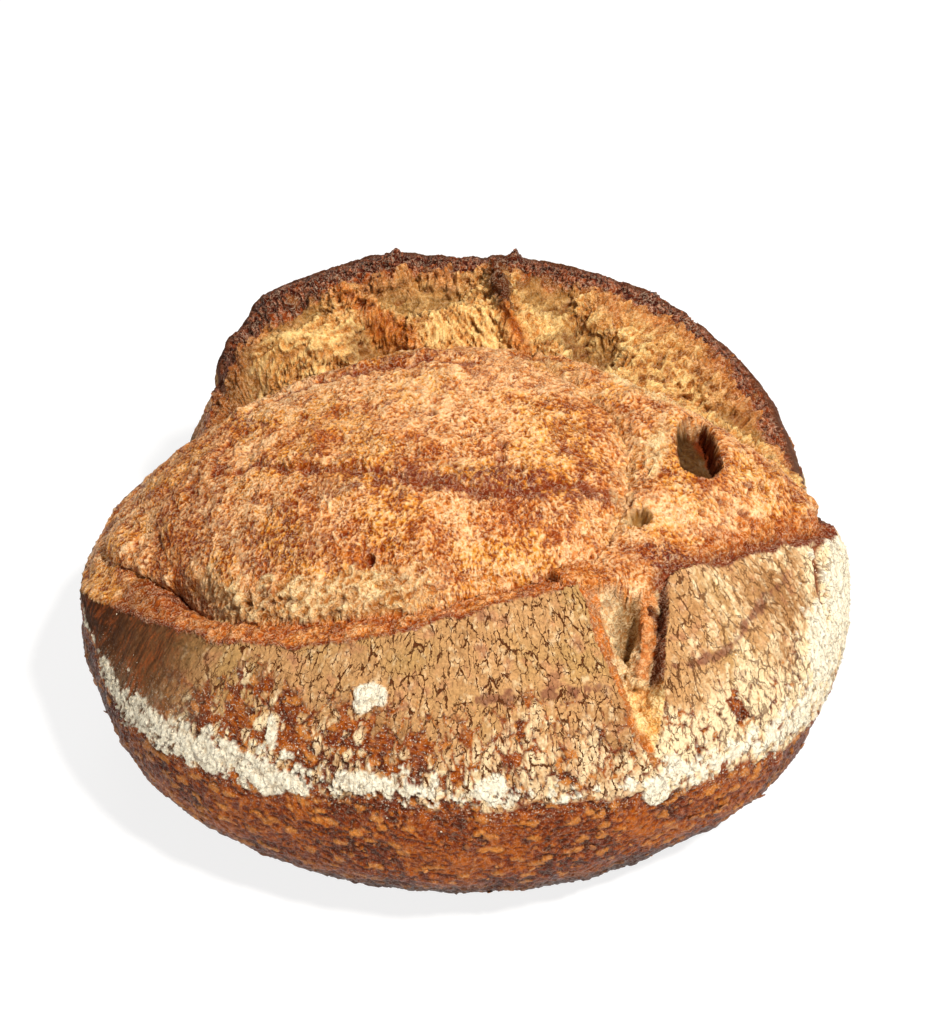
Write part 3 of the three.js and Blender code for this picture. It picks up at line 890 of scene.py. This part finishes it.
def rim_layer(at):
    """Burnt, crumbly rim of the ear, browner towards the torn face and the ear's ends."""
    q, p, rag = at.q, at.p, at.rag
    moved = p + 0.6 * drift(p, 2.0, 84)
    far, _, tag = cells(moved, 1.9, 61)
    lump = np.clip(1 - (far / 0.7)**2, 0, 1)
    curl = strands(moved, 1.5, 63)
    height = 0.9 * layers(p, 4.0, 60, 2) + 0.9 * (lump - 0.6) + (curl - 0.7) - RIM_SINK
    for centre, reach, lift in RIM_LUMPS:
        height += lift * bell(apart(q, centre), reach)
    inner = ease(at.crest + 1.5 * rag, 1.0, 5.5) * at.in_torn
    tone = 0.6 * (curl - 0.55) + 0.5 * (lump - 0.45) + 0.3 * noise(p, 6, 65)
    # The pale tips are a painted highlight
    colour = paint(
        BURNT,
        (BURNT_WARM, tone + 0.5 * inner + 0.25 * ear_ends(at, 45, 80), -0.05, 0.45, 1),
        (TOASTED, tone + 0.7 * inner, 0.35, 0.9, 0.75),
        (BURNT_HIGHLIGHT, ease(curl + 0.3 * tag, 0.85, 1.2) * mix(0.6, 0.3, inner)),
    )
    return finish(height, colour, 0.5, curl=0.9)


def flake_gap(at):
    """Share of the gap behind the flake on the right shoulder."""
    return bell(near_line(at.q, FLAKE_LINE) + 0.8 * at.rag, 0.9)


def flake_cover(at, flow):
    """Share that the floured flakes still cover, how loose they are, and a number for each flake."""
    loss = by_direction(at.degrees, FLAKE_LOSS)
    low = at.below / by_direction(at.degrees, FLAKE_WIDTH)
    loose = ease(low + 0.25 * noise(at.p, 12, 20), -1.05, -0.35)
    _, gap, tag = cells(flow / (1, 1.75, 1), 3.3, 24, flat=True)
    width = loose * (0.03 + 0.20 * loss + 0.10 * at.rag + 0.06 * noise(at.p, 9, 26))
    flake = np.where(width > 0.01, ease(gap, width, width + 0.08), 1.0)
    bare = layers(at.p, 8, 27, 2) > 0.75 - 0.85 * loss
    lost = bare * ease(loose, 0.05, 0.4) * (tag < 0.45 + 0.35 * loss)
    return np.clip(flake - lost, 0, 1), loose, tag


def plate_layer(at):
    """Floured crust: dusty and finely cracked above, below loose flakes with bare crust between them."""
    q, p, rag = at.q, at.p, at.rag
    flow = at.flow + drift(at.flow, 2.6, 22) * (1, 1, 0)
    flake, loose, tag = flake_cover(at, flow)
    chip_flow = flow / (1, 1.3, 1) + 0.5 * drift(flow, 1.5, 23)
    _, seam, chip = cells(chip_flow, 1.8, 25, flat=True)
    chip_edge = bell(seam, 0.10)
    grain = noise(p, 1.1, 28)
    gap = flake_gap(at)
    height = (0.5 * layers(p, 14, 1, 2) + 0.25 * layers(p, 4, 29, 2) + 0.16 * grain + 0.18 * (chip - 0.5)
              - 0.12 * chip_edge + 0.55 * loose - 1.2 * gap)

    floury = by_direction(at.degrees, FLOUR_COVER)
    wide = layers(p, 22, 30, 2)
    blotch = layers(p, 6, 31, 3)
    cream = (0.9 * loose + 0.35 * (tag - 0.5) + 0.35 * (chip - 0.5) + 0.35 * wide + 0.3 * grain
             + 0.5 * ease(q[:, 0], 48, 60) + 0.4 * ease(q[:, 0], 60, 100))
    left = ease(np.abs(at.degrees), 134, 150) * ease(rag * 3 - q[:, 1] + 90, 0, 30)
    run = at.flow / (1.2, 7, 1)
    streaky = strands(run + 0.3 * drift(p, 4, 38), 1.0, 39)
    streak = sum(bell(near_line(q, line) + 1.1 * rag, width) for line, width in STREAKS)
    behind_ear = ease(13 + 5 * rag - at.crest, 0, 8)
    charred = ease(0.6 * rag + 0.6 * grain + 0.8 * (chip - 0.5), -0.4, 0.7)
    rim_back = ease(8 + 6 * ease(q[:, 0], 60, 85) + 2 * rag - at.crest, 0, 4)
    # On the left side, turned from the light, the brown and the dark are painted shade
    colour = paint(
        PLATE_TAN,
        (PLATE_KHAKI, wide, -0.1, 0.6, 0.6),
        (PLATE_SHADE, -wide - 0.5 * blotch - 0.3 * grain, 0.25, 0.9, 0.6),
        (PLATE_ROSE, blotch + 0.3 * grain, 0.25, 0.7, 0.4),
        (PLATE_CREAM, ease(cream, 0.40, 1.05) * mix(0.6, 1, floury)),
        (PLATE_CREAM, chip + 0.5 * grain, 0.75, 1.1, 0.4),
        (PLATE_SHADE, chip_edge * 0.35),
        (PLATE_PURPLE, blotch - 0.4 * grain, 0.6, 0.9, 0.4),
        (PLATE_PURPLE, streak + 0.5 * blotch + 0.4 * grain, 0.45, 0.95, 0.75),
        (LEFT_SIDE_SHADE, left * 0.9),
        (BASE_DARK_AND_SHADE, np.abs(at.degrees), 152, 168, 0.78),
        (BASE_DARK_AND_SHADE, left * ease(0.5 - streaky, 0, 0.5) * 0.5),
        (BURNT_WARM, left * ease(streaky + 0.4 * blotch, 0.6, 1.0) * 0.6),
        (BASE_RED, gap, 0.25, 0.7, 0.9),
        (PLATE_SHADE, 0.6 * behind_ear),
        (BURNT, np.maximum(0.8 * behind_ear * charred, 0.9 * rim_back)),
    )
    crackle = (1 - left) * (1 - 0.5 * behind_ear) * mix(1, 0.7, ease(q[:, 0], 48, 70))
    plate = finish(height, colour, 0.8, crackle=crackle, dust=0.35 * floury * loose)
    return mix(base_layer(at), plate, np.maximum(flake, left)[:, None])


def base_layer(at):
    """Bare crust below the flour: glossy red-brown, streaked round the loaf, with flecks of bran."""
    p, flow = at.p, at.flow
    flow = flow + 0.7 * drift(flow, 4, 90) * (1, 1, 0)
    far, _, tag = cells(flow / (2.5, 1, 1), 2.0, 91, flat=True)
    crowd = ease(layers(p, 13, 95, 2), -0.45, 0.3)
    chosen = tag > 0.86 - 0.26 * crowd
    fleck = ease(0.16 + 0.34 * tag - far, 0, 0.08) * chosen
    fleck_rim = bell(0.22 + 0.34 * tag - far, 0.06) * chosen
    small, _, small_tag = cells(flow / (2.0, 1, 1), 1.1, 93, flat=True)
    chip = ease(0.34 - small, 0, 0.1) * (small_tag > 0.9 - 0.3 * crowd)
    swell = layers(p, 12, 94, 3)
    streak = strands(flow / (3.2, 1, 1), 1.1, 96)
    grain = noise(p, 0.9, 97)
    height = 0.7 * swell + 0.3 * fleck + 0.2 * chip + 0.5 * streak + 0.12 * grain
    wide = layers(p, 17, 98, 3)
    low = ease(34 - at.level, 0, 18)
    aside = np.abs(at.degrees + 90)
    side = ease(aside, 30, 62)
    tone = 0.7 * wide + (streak - 0.45) + 0.3 * grain
    haze = ease(6 - at.below, 0, 6)
    # Darker towards the bottom and the sides: partly the crust's own darker underside, partly painted shade
    colour = paint(
        BASE_RED,
        (BASE_GLOW, tone - 0.4 * low - 0.3 * side, -0.1, 0.5, 0.85),
        (BASE_DARK_AND_SHADE, -tone + 0.35 * low + 0.25 * side, 0.05, 0.7, 0.8),
        (BASE_PURPLE, noise(p, 5, 99) + 0.5 * grain + 0.4 * haze, 0.25, 0.8, 0.5),
        (BASE_GLOW, fleck * 0.7),
        (BRAN, fleck * mix(0.75, 0.4, low) * (0.5 + 0.5 * small_tag)),
        (BASE_DARK_AND_SHADE, fleck_rim * 0.5),
        (BRAN, chip * (small_tag > 0.8) * 0.7),
        (BASE_GLOW, chip * 0.6),
        (BASE_DARK_AND_SHADE, low * 0.92),
        (BASE_DARK_AND_SHADE, ease(aside, 40, 70) * ease(at.below, 0, 8) * 0.6),
    )
    return finish(height, colour, 0.36, curl=0.25, dust=0.1 + 0.4 * haze)


def flour_layer(at):
    """Thick flour, clotted, grainy and finely cracked."""
    p = at.p
    clot = layers(p, 3.4, 110, 2)
    lump = 1 - strands(p + 0.5 * drift(p, 1.8, 111), 1.9, 112)
    grain = noise(p, 0.8, 113)
    height = 0.75 + 0.4 * clot + 0.35 * lump + 0.2 * grain
    colour = paint(FLOUR, (FLOUR_SHADE, ease(0.55 - lump - 0.4 * clot - 0.3 * grain, 0.0, 0.8) * 0.8))
    return finish(height, colour, 0.95, crackle=0.5)


# Where each layer lies


def flour_share(at):
    """Share of the thick flour: a broken band round the loaf, and clumps."""
    p, below, degrees = at.p, at.below, at.degrees
    width, cover = by_direction(degrees, FLOUR_WIDTH), by_direction(degrees, FLOUR_COVER)
    middle = 1 - np.abs(below + width / 2) / (width / 2 + 1.2)
    ragged = 1.1 * layers(p, 3.6, 115, 3, 0.7) + 0.25 * strands(p, 1.6, 118)
    dusting = ease(middle * 1.3 + ragged + 1.4 * (cover - 1), 0.25, 0.38)
    dusting *= ease(at.crest, 12, 20)
    clumps = patches(at.q, [(*clump, 1.0) for clump in FLOUR_CLUMPS], 0.7 * at.rag)
    return np.maximum(dusting * (below < 1.5), ease(clumps, 0.4, 0.6))


def bare_crumb(at):
    """Share of the skin that shows crumb: along its lower edge, in the trough and at the ear's foot."""
    across, rag = at.q[:, 0], at.rag
    left_foot = ease(across, -80, -68) * (1 - ease(across, -22, 0))
    foot = ease(7.0 + 3.0 * rag - at.groove, -1.0, 1.0) * left_foot * at.in_dome
    crease = ease(2.4 + 3.0 * rag - at.trough, -1.0, 1.5) * ease(at.q[:, 1], -44, -30) * 0.6
    ear_foot = ease(3.5 + 3.0 * rag - at.valley, -1.0, 1.0) * ease(across, 0, 25)
    return np.clip(0.85 * (foot + crease + ear_foot + patches(at.q, CRUMB_STRIPS, rag)), 0, 1)


def band_share(at):
    """Share of the browned strip along the lips, and of the lumps that look like it."""
    reach = np.where(at.right < at.lip, 7.0, 9.5) + 1.6 * at.rag
    left_end = ease(-at.q[:, 0] + 0.6 * at.q[:, 1] + 6 * at.rag, 76, 90)
    band = ease(reach - at.edge, -0.5, 0.8) * ~at.in_dome * (1 - left_end)
    return np.maximum(band, patches(at.q, [JUNCTION, RECESS_SHADE], at.rag))


def rim_share(at):
    """Share of the burnt rim, narrower at its ends."""
    reach = mix(4.0, 2.6, ear_ends(at, 45, 85)) + 2.0 * at.rag
    rim = ease(reach - at.crest, -0.7, 1.2) * ease(at.along_crest, 0.02, 0.08)
    return rim * (1 - ease(at.along_crest + 0.02 * at.rag, 0.91, 0.95))


def crust_shares(at):
    """Each layer with its share of the surface, from the first laid to the last."""
    rag, outer = at.rag, 1.0 - at.in_opening
    shoulder = patches(at.q, [SKIN_SHOULDER], rag) * ease(2 * rag - at.below, 7, 13)
    yield plate_layer, outer * (at.below < 2)
    yield base_layer, outer * ease(at.below + 1.5 * rag, -0.8, 0.8)
    yield flour_layer, outer * flour_share(at) * (1 - ease(flake_gap(at), 0.1, 0.4))
    yield skin_layer, np.maximum(at.in_skin, outer * shoulder)
    yield crumb_layer, at.in_skin * bare_crumb(at)
    yield band_layer, at.in_skin * band_share(at)
    yield crumb_layer, 1.0 * at.in_torn
    yield cleft_layer, 1.0 * at.in_cleft
    yield rim_layer, rim_share(at)


def build_crust():
    """The surface: places on the spread plane, points, triangles, distances and each point's finish."""
    q, faces = ring_lattice()
    flat = np.column_stack([q, np.zeros(len(q))])
    wavy = q + sum(size * np.column_stack([noise(flat, reach, 120), noise(flat, reach, 121)])
                   for reach, size in WAVY)
    plain, lift, polar = plain_body(q)
    at = crust_areas(wavy)
    height = main_height(wavy, at) * (1 - ease(polar, *FADE))
    p = plain + lift * height[:, None]

    azimuth = np.degrees(np.arctan2(q[:, 1], q[:, 0]))
    radius = np.hypot(*q.T)
    front = np.radians((azimuth + 270) % 360 - 180)
    at.flow = np.column_stack([front * FLOW_RADIUS, radius, np.zeros(len(q))])
    vars(at).update(q=q, p=p, degrees=azimuth, level=p[:, 2] + WAIST, rag=layers(p, 5, 130, 3),
                    below=radius - by_direction(azimuth, FLOUR_EDGE) + 1.6 * layers(p, 8, 133, 3))

    crust = np.zeros((len(q), 8))
    for layer, share in crust_shares(at):
        chosen = share > LEAST_SHARE
        part = SimpleNamespace(**{name: values[chosen] for name, values in vars(at).items()})
        crust[chosen] = mix(crust[chosen], layer(part), share[chosen, None])
    relief = crust[:, 0] * (1 - ease(polar, *FINE_FADE))
    p = settle(p + normals(p, faces) * relief[:, None])
    return q, p, faces, at, crust


# Blender meshes and materials


def add_object(name, data):
    """An object in the scene."""
    thing = bpy.data.objects.new(name, data)
    bpy.context.scene.collection.objects.link(thing)
    return thing


def new_mesh(name, p, faces):
    """A mesh object from points in millimetres and triangles."""
    mesh = bpy.data.meshes.new(name)
    mesh.vertices.add(len(p))
    mesh.vertices.foreach_set("co", (p * MM).astype(np.float32).ravel())
    mesh.loops.add(faces.size)
    mesh.loops.foreach_set("vertex_index", faces.astype(np.int32).ravel())
    mesh.polygons.add(len(faces))
    mesh.polygons.foreach_set("loop_start", np.arange(0, faces.size, 3, dtype=np.int32))
    mesh.update(calc_edges=True)
    mesh.polygons.foreach_set("use_smooth", np.ones(len(faces), bool))
    return add_object(name, mesh)


def set_values(mesh, name, kind, field, values):
    """Stores a value for each point of the mesh."""
    data = mesh.attributes.new(name, kind, "POINT").data
    data.foreach_set(field, values.astype(np.float32).ravel())


def set_colour(mesh, name, colour):
    set_values(mesh, name, "FLOAT_COLOR", "color", np.column_stack([colour, np.ones(len(colour))]))


def add_node(tree, kind, output, inputs, **settings):
    """The named output of a new shader node. Each input is a value or another node's output."""
    node = tree.nodes.new(kind)
    for name, value in settings.items():
        setattr(node, name, value)
    for name, value in inputs.items():
        socket = node.inputs[name]
        if isinstance(value, bpy.types.NodeSocket):
            tree.links.new(value, socket)
        else:
            socket.default_value = value
    return node.outputs[output] if output else None


def new_material(name):
    material = bpy.data.materials.new(name)
    material.use_nodes = True
    material.node_tree.nodes.clear()
    return material, material.node_tree


def attribute(tree, name, output="Fac"):
    return add_node(tree, "ShaderNodeAttribute", output, {}, attribute_name=name)


def ramp(tree, value, low, high, to_low=0.0, to_high=1.0):
    """A value stretched from one range to another."""
    return add_node(tree, "ShaderNodeMapRange", "Result", {"Value": value, "From Min": low, "From Max": high,
                                                           "To Min": to_low, "To Max": to_high})


def maths(tree, operation, *values):
    return add_node(tree, "ShaderNodeMath", "Value", dict(enumerate(values)), operation=operation)


def times(tree, a, b):
    return maths(tree, "MULTIPLY", a, b)


def plus(tree, a, b):
    return maths(tree, "ADD", a, b)


def vector_maths(tree, operation, inputs):
    return add_node(tree, "ShaderNodeVectorMath", "Vector", inputs, operation=operation)


def noise_texture(tree, place, scale, output="Fac", **more):
    """Noise, about 0 to 1, with lumps of 1 / scale."""
    return add_node(tree, "ShaderNodeTexNoise", output, {"Vector": place, "Scale": scale, **more})


def blend(tree, share, below, above):
    """One colour laid over another."""
    above = above if isinstance(above, bpy.types.NodeSocket) else (*linear(above), 1.0)
    return add_node(tree, "ShaderNodeMix", "Result", {"Factor": share, "A": below, "B": above},
                    data_type="RGBA")


def surface(tree, inputs, bump=None):
    """The material's shader, with a bump where one is given."""
    if bump:
        inputs = {**inputs, "Normal": add_node(tree, "ShaderNodeBump", "Normal", bump)}
    shader = add_node(tree, "ShaderNodeBsdfPrincipled", "BSDF", inputs)
    add_node(tree, "ShaderNodeOutputMaterial", None, {"Surface": shader})


def crack_net(tree, moved, flow, scale, patch):
    """A broken net of cracks round cells of the given scale: how near a crack is, 1 on its edge."""
    cell = add_node(tree, "ShaderNodeMapping", "Vector", {"Vector": moved, "Scale": (*scale, 1.0)})
    edge = add_node(tree, "ShaderNodeTexVoronoi", "Distance", {"Vector": cell, "Scale": 1.0},
                    feature="DISTANCE_TO_EDGE", voronoi_dimensions="2D")
    wide = ramp(tree, noise_texture(tree, flow, patch, Detail=3.0), 0.44, 0.62, 0.0001, CRACK_WIDTH)
    return maths(tree, "DIVIDE", edge, wide)


def fine_cracks(tree):
    """Fine cracks of the floured crust, mostly running down it: share of crack and of raised edge."""
    flow = attribute(tree, "flow", "Vector")
    warp = noise_texture(tree, flow, 0.5, "Color", Detail=4.0, Roughness=0.65)
    moved = vector_maths(tree, "MULTIPLY_ADD", {0: warp, 1: (3.4, 3.4, 0.0), 2: flow})
    coarse = crack_net(tree, moved, flow, (0.29, 0.17), 0.24)
    small = crack_net(tree, moved, flow, (0.56, 0.42), 0.37)
    near = maths(tree, "MINIMUM", coarse, small)
    share = attribute(tree, "crackle")
    crack = times(tree, ramp(tree, near, 0.6, 1.15, 1.0, 0.0), share)
    return crack, times(tree, ramp(tree, near, 1.2, 3.2, 1.0, 0.0), share)


def curls(tree, place):
    """Thin curling ridges, 0 to 1."""
    rough = noise_texture(tree, place, CURL_SCALE, Detail=2.0, Distortion=0.7)
    return ramp(tree, maths(tree, "ABSOLUTE", plus(tree, rough, -0.5)), 0.0, 0.11, 1.0, 0.0)


def crust_material():
    """Colour, relief finer than the mesh and gloss, all from the crust's own numbers and noise. The colour
    has painted shade in the hollows between the fine curls and a painted highlight on their crests.
    """
    material, tree = new_material("crust")
    place = add_node(tree, "ShaderNodeTexCoord", "Object", {})
    grain = noise_texture(tree, place, GRAIN_SCALE, Detail=3.0, Roughness=0.65)
    web = curls(tree, place)
    curl = attribute(tree, "curl")
    crest = times(tree, ramp(tree, web, 0.6, 1.0), curl)
    hollow = times(tree, ramp(tree, web, 0.0, 0.4, 0.85, 0.0), curl)
    crack, crack_edge = fine_cracks(tree)
    dust = ramp(tree, noise_texture(tree, place, DUST_SCALE, Detail=2.0), 0.60, 0.66)
    dust = times(tree, dust, attribute(tree, "dust"))

    shade = ramp(tree, grain, *GRAIN_RANGE, *GRAIN_SHADE)
    # Raised edges beside the cracks are lightened: a painted highlight
    shade = times(tree, shade, ramp(tree, crack_edge, 0.0, 1.0, 1.0, 1.15))
    colour = vector_maths(tree, "SCALE", {0: attribute(tree, "crust_colour", "Color"), 3: shade})
    # Painted shade in the hollows between the curls, and a painted highlight (the glint) on their crests
    deep = vector_maths(tree, "MULTIPLY", {0: colour, 1: HOLLOW_SHADE})
    glint = times(tree, crest, 0.34)
    for share, over in ((hollow, deep), (glint, SKIN_GLINT), (dust, FLOUR), (crack, CRACK)):
        colour = blend(tree, share, colour, over)

    height = plus(tree, times(tree, grain, 0.6), times(tree, web, times(tree, curl, 0.55)))
    height = plus(tree, height, times(tree, crack, -1.0))
    height = plus(tree, height, times(tree, dust, 0.4))
    gloss = plus(tree, attribute(tree, "gloss"), ramp(tree, grain, *GRAIN_RANGE, 0.1, -0.1))
    surface(tree, {"Base Color": colour, "Roughness": gloss,
                   "Specular IOR Level": ramp(tree, crest, 0.0, 1.0, 0.08, 0.7)},
            {"Height": height, **CRUST_BUMP})
    return material


def bit_material(name, roughness):
    """Material of the loose bits: each bit's own colour with a little grain."""
    material, tree = new_material(name)
    place = add_node(tree, "ShaderNodeTexCoord", "Object", {})
    grain = noise_texture(tree, place, BIT_SCALE, Detail=2.0)
    shade = ramp(tree, grain, *GRAIN_RANGE, *BIT_SHADE)
    colour = vector_maths(tree, "SCALE", {0: attribute(tree, "bit_colour", "Color"), 3: shade})
    surface(tree, {"Base Color": colour, "Roughness": roughness, "Specular IOR Level": 0.3},
            {"Height": grain, **BIT_BUMP})
    return material


# Pieces of the loaf


def join_up(piece):
    """Marks a piece as part of the loaf."""
    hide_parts("loaf")
    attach(piece, "root")


def make_crust():
    """The loaf in one piece; gives back its points, their normals and the crust's distances."""
    q, p, faces, at, crust = build_crust()
    loaf = new_mesh("loaf_crust", p, faces)
    mesh = loaf.data
    set_colour(mesh, "crust_colour", crust[:, 1:4])
    for i, name in enumerate(("gloss", "crackle", "curl", "dust")):
        set_values(mesh, name, "FLOAT", "value", crust[:, 4 + i])
    set_values(mesh, "flow", "FLOAT_VECTOR", "vector", at.flow)
    uv = mesh.uv_layers.new(name="OFBake")
    uv.data.foreach_set("uv", (q / (4 * QUARTER) + 0.5)[faces.ravel()].astype(np.float32).ravel())
    mesh.materials.append(crust_material())
    join_up(loaf)
    return p, normals(p, faces), at


# Twenty-sided bit, as points and triangles
GOLDEN = (1 + 5**0.5) / 2
BIT_POINTS = np.array([(-1, GOLDEN, 0), (1, GOLDEN, 0), (-1, -GOLDEN, 0), (1, -GOLDEN, 0),
                       (0, -1, GOLDEN), (0, 1, GOLDEN), (0, -1, -GOLDEN), (0, 1, -GOLDEN),
                       (GOLDEN, 0, -1), (GOLDEN, 0, 1), (-GOLDEN, 0, -1), (-GOLDEN, 0, 1)]) / 1.902
BIT_FACES = np.array([(0, 11, 5), (0, 5, 1), (0, 1, 7), (0, 7, 10), (0, 10, 11), (1, 5, 9), (5, 11, 4),
                      (11, 10, 2), (10, 7, 6), (7, 1, 8), (3, 9, 4), (3, 4, 2), (3, 2, 6), (3, 6, 8),
                      (3, 8, 9), (4, 9, 5), (2, 4, 11), (6, 2, 10), (8, 6, 7), (9, 8, 1)])


def scatter(name, p, normal, weight, seed, count, sizes, squash, ragged, colours, roughness):
    """Small uneven bits joined into one mesh, set on the crust where the weight says."""
    draw = np.random.default_rng(seed)
    spot = draw.choice(len(p), count, p=weight / weight.sum())
    size = sizes[0] + (sizes[1] - sizes[0]) * draw.random(count)**2.2
    up = unit(normal[spot] + 0.25 * draw.normal(size=(count, 3)))
    side = unit(np.cross(up, draw.normal(size=(count, 3))))
    ahead = np.cross(up, side)
    shape = BIT_POINTS[None] * (1 + ragged * draw.uniform(-1, 1, (count, 12, 1)))
    shape *= np.stack([draw.uniform(0.7, 1.3, count), draw.uniform(0.6, 1.1, count),
                       squash * draw.uniform(0.7, 1.3, count)], 1)[:, None, :]
    bits = sum(shape[:, :, i, None] * axis[:, None, :] for i, axis in enumerate((side, ahead, up)))
    middle = p[spot] + up * (size * squash * 0.2)[:, None]
    points = (middle[:, None, :] + bits * size[:, None, None] / 2).reshape(-1, 3)
    points[:, 2] = np.maximum(points[:, 2], 0.05)
    faces = (BIT_FACES[None] + 12 * np.arange(count)[:, None, None]).reshape(-1, 3)
    piece = new_mesh(name, points, faces)
    tone = draw.random((count, 1))
    colour = mix(linear(colours[0]), linear(colours[1]), tone)
    set_colour(piece.data, "bit_colour", np.repeat(colour, 12, axis=0))
    piece.data.materials.append(bit_material(name, roughness))
    join_up(piece)


def make_bits(p, normal, at):
    """Flour grains over and round the flour, crumbs on the burnt rim, and bran on the bare crust."""
    outer = ~at.in_opening
    dust = outer * (bell(at.below + 4, 7) * 0.5 + 0.01) * by_direction(at.degrees, FLOUR_COVER)
    scatter("flour_grains", p, normal, flour_share(at) * outer + 0.08 * dust, **FLOUR_GRAINS)
    rim = ease(4.5 - at.crest, 0, 3) * ease(at.along_crest, 0.03, 0.1)
    scatter("rim_crumbs", p, normal, rim, **RIM_CRUMBS)
    base = outer * ease(at.below, 1, 6) * (at.level > 2)
    scatter("bran_flecks", p, normal, base, **BRAN_FLECKS)


# Camera, light and floor


def make_camera():
    data = bpy.data.cameras.new("camera")
    data.lens = CAMERA_LENS
    data.clip_start, data.clip_end = 0.01, 20.0
    data.shift_x = (FRAME_SIZE[0] / 2 - AIM_PIXEL[0]) / max(FRAME_SIZE)
    data.shift_y = (AIM_PIXEL[1] - FRAME_SIZE[1] / 2) / max(FRAME_SIZE)
    camera = add_object("camera", data)
    tilt = math.radians(CAMERA_ANGLE)
    back = np.array([0, -math.cos(tilt), math.sin(tilt)])
    camera.location = (np.array(CAMERA_AIM) + CAMERA_DISTANCE * back) * MM
    camera.rotation_euler = (math.pi / 2 - tilt, 0, 0)
    bpy.context.scene.camera = camera


def add_light(name, place, size, power, colour):
    """A round lamp that faces the loaf."""
    data = bpy.data.lights.new(name, "AREA")
    data.shape, data.size, data.energy, data.color = "DISK", size, power, colour
    light = add_object(name, data)
    light.location = place
    light.rotation_euler = light.location.to_track_quat("Z", "Y").to_euler()


def make_floor():
    """A wide floor that glows, so that the ground looks white round the loaf's shadow."""
    corners = FLOOR_HALF * np.array([(-1, -1, 0), (1, -1, 0), (1, 1, 0), (-1, 1, 0)])
    floor = new_mesh("floor", corners, np.array([(0, 1, 2), (0, 2, 3)]))
    material, tree = new_material("floor")
    surface(tree, {"Base Color": FLOOR_GREY, "Roughness": 0.9, "Specular IOR Level": 0.1,
                   "Emission Color": (1, 1, 1, 1), "Emission Strength": FLOOR_GLOW})
    floor.data.materials.append(material)


def make_studio():
    for name, light in LIGHTS.items():
        add_light(name, *light)
    world = bpy.data.worlds.new("studio")
    world.use_nodes = True
    background = world.node_tree.nodes["Background"]
    background.inputs["Color"].default_value = SKY
    background.inputs["Strength"].default_value = SKY_STRENGTH
    bpy.context.scene.world = world
    bpy.context.scene.view_settings.view_transform = "Standard"
    make_floor()


make_camera()
make_bits(*make_crust())
make_studio()
